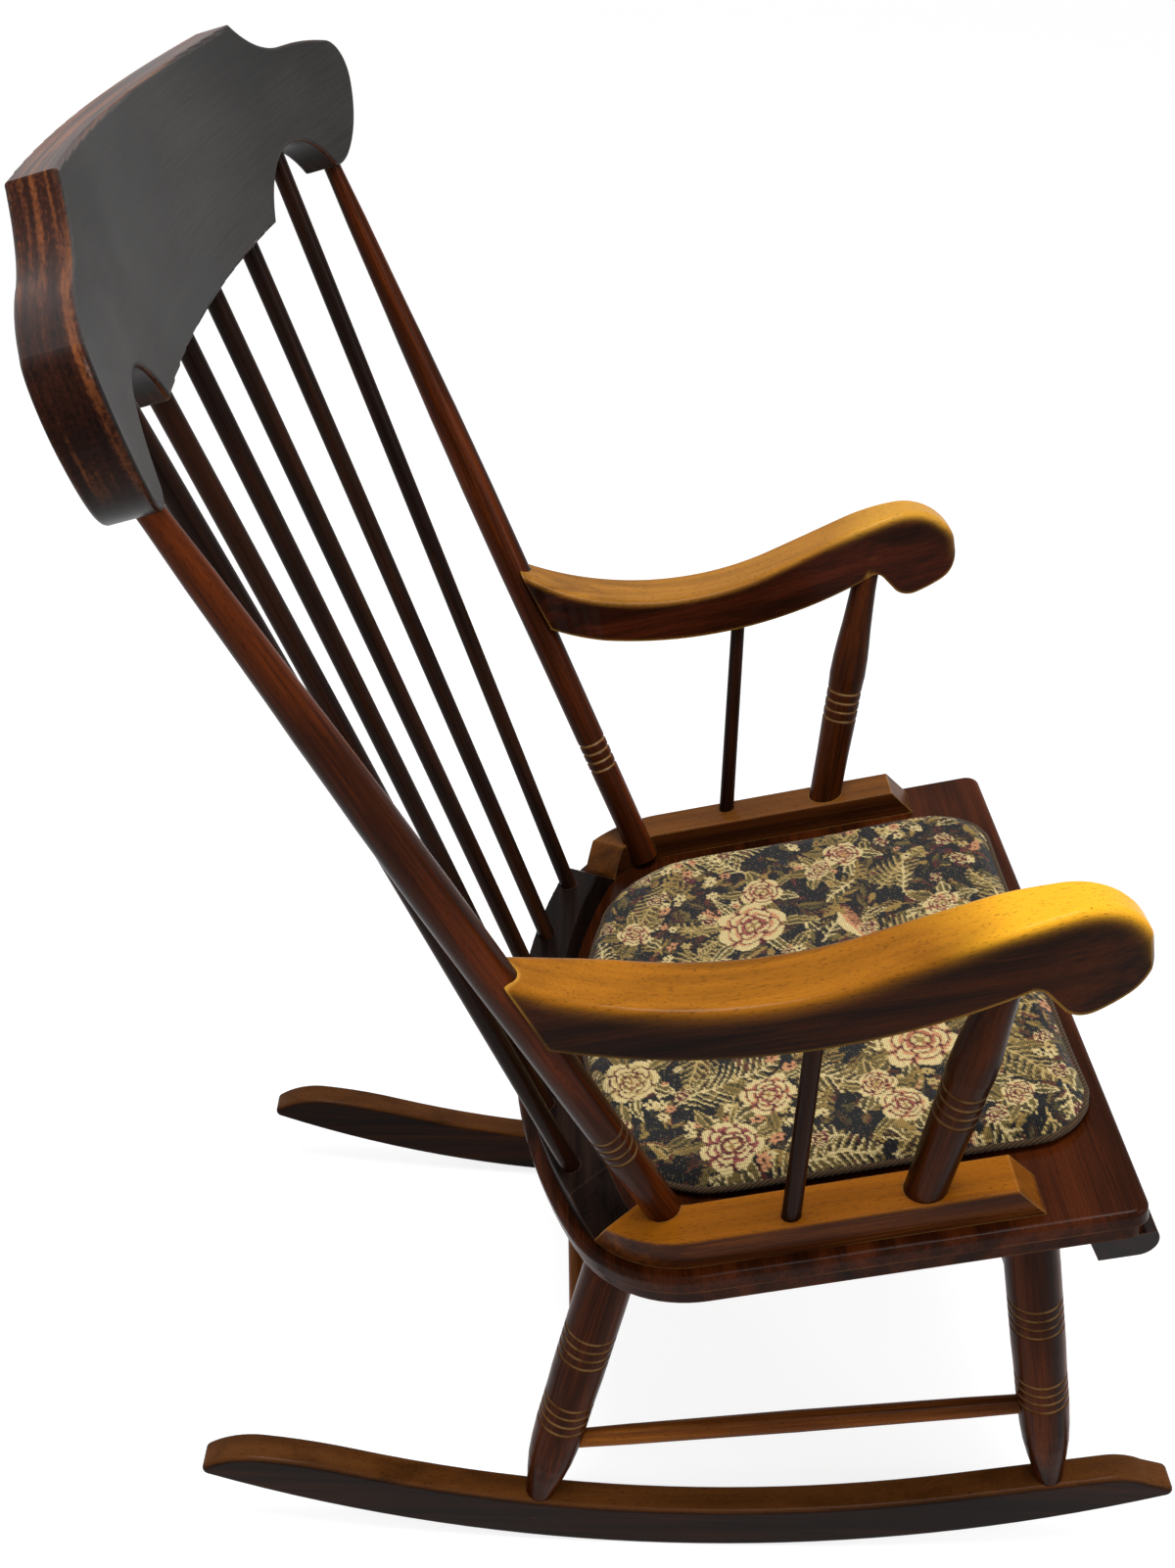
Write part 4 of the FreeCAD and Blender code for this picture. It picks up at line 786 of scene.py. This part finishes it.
def tapestry_colours(points):
    """The colour of each point of the cover; the points are on the level chair in metres."""
    cloth = Tapestry(points[:, :2] / MM)
    rng = random.Random(PATTERN_SEED)
    shades = ["ink", "navy", "umber", "umber", "rust", "moss", "olive", "umber", "olive", "maroon",
              "gold"]
    for _ in range(SPRIGS):
        foot = (rng.uniform(-210, 210), rng.uniform(0, 385))
        dark, light = rng.choice(shades), rng.choice(shades)
        cloth.leaf(foot, rng.uniform(0, 360), rng.uniform(8, 19), rng.uniform(1.8, 3.6),
                   dark, light)
    for _ in range(LEAVES):
        foot = (rng.uniform(-205, 205), rng.uniform(5, 380))
        cloth.leaf(foot, rng.uniform(0, 360), rng.uniform(18, 30), rng.uniform(4, 7),
                   rng.choice(["moss", "umber"]), rng.choice(["olive", "gold", "moss"]),
                   rim=rng.choice(["gold", "straw", "umber", "cream"]))
    for foot, heading, length, width, bend in FERNS:
        cloth.fern(foot, heading, length, width, "olive", rng.choice(["cream", "straw"]), bend)
    for _ in range(SMALL_FERNS):
        foot = (rng.uniform(-200, 200), rng.uniform(8, 370))
        cloth.fern(foot, rng.uniform(0, 360), rng.uniform(20, 38), rng.uniform(7, 12),
                   rng.choice(["olive", "moss", "gold"]), rng.choice(["gold", "straw", "cream"]),
                   0.1)
    for _ in range(POSIES):
        centre = (rng.uniform(-198, 198), rng.uniform(10, 372))
        for _ in range(rng.randint(3, 6)):
            spot = (centre[0] + rng.uniform(-13, 13), centre[1] + rng.uniform(-13, 13))
            cloth.daisy(spot, rng.uniform(3.4, 6), rng.uniform(0, 90),
                        rng.choice(["cream", "straw", "cream", "peach"]), rng.choice([5, 6]))
    cloth.bird((54, 143), 205, 21)
    for centre, radius, spin, *_ in ROSES:
        for step in range(rng.randint(5, 7)):
            heading = spin + step * 61 + rng.uniform(-14, 14)
            foot = (centre[0] + radius * 0.7 * math.cos(math.radians(heading)),
                    centre[1] + radius * 0.7 * math.sin(math.radians(heading)))
            cloth.leaf(foot, heading, radius * rng.uniform(0.8, 1.1) + 6, rng.uniform(4, 6.5),
                       "moss", "olive", rim=rng.choice(["straw", "cream", "gold"]))
    for rose in ROSES:
        cloth.rose(*rose)
    for _ in range(BUDS):
        centre = (rng.uniform(-200, 200), rng.uniform(8, 375))
        if all(math.dist(centre, rose[0]) > rose[1] + 4 for rose in ROSES):
            cloth.rose(centre, rng.uniform(5, 8.5), rng.uniform(0, 90),
                       rng.choice(["peach", "salmon"]), "rose", "cream", 5)
    return cloth.colours


# Cloth. WARP is the pitch of the warp threads in millimetres, and WAVE_OF_PITCH is what the wave
# texture's scale times a pitch in metres comes to.

WARP = 2.1
WAVE_OF_PITCH = 0.31416
TAPESTRY_DEPTH = 0.0007
PIPING_DEPTH = 0.0004


def thread_ridges(finish, place, pitch, direction, distortion, fineness):
    """The ridges of threads laid side by side, with their pitch in millimetres."""
    inputs = {"Vector": place, "Scale": WAVE_OF_PITCH / (pitch * MM), "Distortion": distortion,
              "Detail": 1.0, "Detail Scale": fineness}
    return finish.node("ShaderNodeTexWave", inputs, bands_direction=direction,
                       wave_profile="SIN").outputs["Fac"]


def woven_tapestry():
    finish = Finish("tapestry")
    place = finish.local(at_rest(0, 0, 0), (1, 0, 0), turned_to_rest(0, 1, 0))
    pattern = finish.node("ShaderNodeAttribute", attribute_name="yarn").outputs["Color"]
    wefts = thread_ridges(finish, place, RIB, "Y", 0.6, 2.0)
    warps = thread_ridges(finish, place, WARP, "X", 1.2, 3.0)
    fuzz = finish.noise(place, (420.0, 900.0, 420.0), detail=2)
    # The thread ridges darken the yarn's colour between the threads as painted shade, besides
    # giving the relief.
    threads = finish.sum("MULTIPLY_ADD", wefts, 0.6, finish.sum("MULTIPLY", warps, 0.4))
    level = finish.sum("MULTIPLY_ADD", threads, 0.44, finish.sum("MULTIPLY_ADD", fuzz, 0.5, 0.3))
    inputs = {"X": level, "Y": level, "Z": level}
    level = finish.node("ShaderNodeCombineXYZ", inputs).outputs["Vector"]
    colour = finish.blended(1.0, pattern, level, kind="MULTIPLY")
    specks = finish.spread(finish.noise(place, (300.0, 760.0, 300.0), detail=1), 0.63, 0.7)
    colour = finish.blended(finish.sum("MULTIPLY", specks, 0.35), colour, tone("8c7a52"))
    height = finish.sum("MULTIPLY_ADD", fuzz, 0.4, threads)
    return finish.shade(colour, 0.92, height, TAPESTRY_DEPTH, sheen_weight=0.08,
                        sheen_roughness=0.6, specular_ior_level=0.15)


def piping_cloth():
    finish = Finish("piping_cloth")
    place = finish.node("ShaderNodeTexCoord").outputs["Object"]
    inputs = {"Vector": place, "Scale": 190.0, "Distortion": 1.0, "Detail": 1.0}
    twill = finish.node("ShaderNodeTexWave", inputs, bands_direction="DIAGONAL").outputs["Fac"]
    fuzz = finish.noise(place, (700.0, 700.0, 700.0))
    level = finish.sum("MULTIPLY_ADD", twill, 0.4, finish.sum("MULTIPLY", fuzz, 0.6))
    colour = finish.ramp(level, [(0.25, tone("23170e")), (0.55, tone("3a2817")),
                                 (0.8, tone("54401f"))])
    return finish.shade(colour, 0.85, twill, PIPING_DEPTH, sheen_weight=0.1,
                        specular_ior_level=0.2)


# Corded edge, in millimetres: its height on the level chair, its radius, how far out from the
# cover its middle lies, and how far out the search for the cover starts

PIPING_HEIGHT = 6.5
PIPING_RADIUS = 2.4
PIPING_OUT = 0.6
SEARCH_OUT = 40


def piping_body(cushion):
    """The corded edge of the cushion, laid on its side all the way round."""
    tree = BVHTree.FromObject(cushion, bpy.context.evaluated_depsgraph_get())
    outline = cushion_outline()
    spots = []
    for number, (x, y) in enumerate(outline):
        before, after = outline[number - 1], outline[(number + 1) % len(outline)]
        outward = Vector((after[1] - before[1], before[0] - after[0], 0)).normalized()
        spot = Vector((x * MM, y * MM, PIPING_HEIGHT * MM))
        hit = tree.ray_cast(spot + outward * SEARCH_OUT * MM, -outward)[0]
        spots.append(hit + outward * PIPING_OUT * MM if hit else spot)
    line = bpy.data.curves.new("cushion_piping", "CURVE")
    line.dimensions = "3D"
    spline = line.splines.new("NURBS")
    spline.points.add(len(spots) - 1)
    for point, spot in zip(spline.points, spots):
        point.co = (*spot, 1)
    spline.order_u = 4
    spline.use_cyclic_u = True
    line.bevel_depth = PIPING_RADIUS * MM
    line.bevel_resolution = 4
    line.resolution_u = 3
    piece = bpy.data.objects.new("cushion_piping", line)
    scene.collection.objects.link(piece)
    bpy.context.view_layer.objects.active = piece
    piece.select_set(True)
    bpy.ops.object.convert(target="MESH")
    piece.select_set(False)
    bpy.ops.object.select_all(action="DESELECT")
    return bpy.data.objects["cushion_piping"]


def add_cushion():
    cushion = cushion_body()
    piping = piping_body(cushion)
    colours = tapestry_colours(points_of(cushion.data))
    yarn = cushion.data.color_attributes.new("yarn", "FLOAT_COLOR", "POINT")
    yarn.data.foreach_set("color", colours.ravel())
    for piece, material in ((cushion, woven_tapestry()), (piping, piping_cloth())):
        piece.data.transform(LEVEL_TO_REST)
        piece.data.materials.clear()
        piece.data.materials.append(material)
        piece.data.polygons.foreach_set("use_smooth", [True] * len(piece.data.polygons))
        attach(piece, "root")
    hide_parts("seat_cushion")


# Floor and light. The floor and the room are paler to the camera, and in reflections, than the
# light that they give. LAMPS are (name, place, aim, width in metres, watts).

FLOOR_REACH = 30
FLOOR_GREY = 0.8
FLOOR_SEEN_GREY = 0.42
FLOOR_GLOW = 0.78
ROOM_LIGHT = 0.5
ROOM_SEEN = 1.0
PAPER_WHITE = (1, 1, 1, 1)
LAMPS = (
    ("overhead_lamp", (-0.5, 0.2, 3.0), (0, 0, 0.4), 1.2, 72),
    ("front_lamp", (-1.6, -2.4, 2.2), (0, 0, 0.5), 1.6, 24),
)


def grey(level):
    return (level, level, level, 1)


def add_floor():
    build = bmesh.new()
    bmesh.ops.create_grid(build, x_segments=1, y_segments=1, size=FLOOR_REACH)
    mesh = bpy.data.meshes.new("floor")
    build.to_mesh(mesh)
    build.free()
    floor = bpy.data.objects.new("floor", mesh)
    scene.collection.objects.link(floor)
    finish = Finish("floor_paint")
    path = finish.node("ShaderNodeLightPath").outputs
    seen = finish.sum("MAXIMUM", path["Is Camera Ray"], path["Is Glossy Ray"])
    seen = finish.sum("MAXIMUM", seen, path["Is Transmission Ray"])
    paper = finish.node("ShaderNodeBsdfDiffuse", {"Color": grey(FLOOR_SEEN_GREY)})
    glow = finish.node("ShaderNodeEmission", {"Color": PAPER_WHITE, "Strength": FLOOR_GLOW})
    pale = finish.node("ShaderNodeAddShader", {0: paper.outputs[0], 1: glow.outputs[0]})
    plain = finish.node("ShaderNodeBsdfDiffuse", {"Color": grey(FLOOR_GREY)})
    either = finish.node("ShaderNodeMixShader", {0: seen, 1: plain.outputs[0], 2: pale.outputs[0]})
    finish.node("ShaderNodeOutputMaterial", {"Surface": either.outputs[0]})
    mesh.materials.append(finish.material)


def add_world():
    world = bpy.data.worlds.new("room")
    scene.world = world
    world.use_nodes = True
    tree = world.node_tree
    tree.nodes.clear()
    path = tree.nodes.new("ShaderNodeLightPath")
    shiny = tree.nodes.new("ShaderNodeMath")
    shiny.operation = "MAXIMUM"
    tree.links.new(path.outputs["Is Glossy Ray"], shiny.inputs[0])
    tree.links.new(path.outputs["Is Transmission Ray"], shiny.inputs[1])
    seen = tree.nodes.new("ShaderNodeMath")
    seen.operation = "MAXIMUM"
    tree.links.new(path.outputs["Is Camera Ray"], seen.inputs[0])
    tree.links.new(shiny.outputs[0], seen.inputs[1])
    strength = tree.nodes.new("ShaderNodeMapRange")
    strength.inputs["To Min"].default_value = ROOM_LIGHT
    strength.inputs["To Max"].default_value = ROOM_SEEN
    tree.links.new(seen.outputs[0], strength.inputs["Value"])
    background = tree.nodes.new("ShaderNodeBackground")
    background.inputs["Color"].default_value = PAPER_WHITE
    tree.links.new(strength.outputs["Result"], background.inputs["Strength"])
    output = tree.nodes.new("ShaderNodeOutputWorld")
    tree.links.new(background.outputs[0], output.inputs["Surface"])


def add_lamp(name, place, aim, width, power):
    data = bpy.data.lights.new(name, "AREA")
    data.shape = "SQUARE"
    data.size = width
    data.energy = power
    lamp = bpy.data.objects.new(name, data)
    scene.collection.objects.link(lamp)
    lamp.location = place
    lamp.rotation_mode = "QUATERNION"
    lamp.rotation_quaternion = (Vector(aim) - Vector(place)).to_track_quat("-Z", "Y")


add_camera()
scene.view_settings.view_transform = "Standard"
add_floor()
add_world()
for lamp in LAMPS:
    add_lamp(*lamp)
finish_turned()
finish_boards()
finish_crest()
finish_arms()
add_cushion()
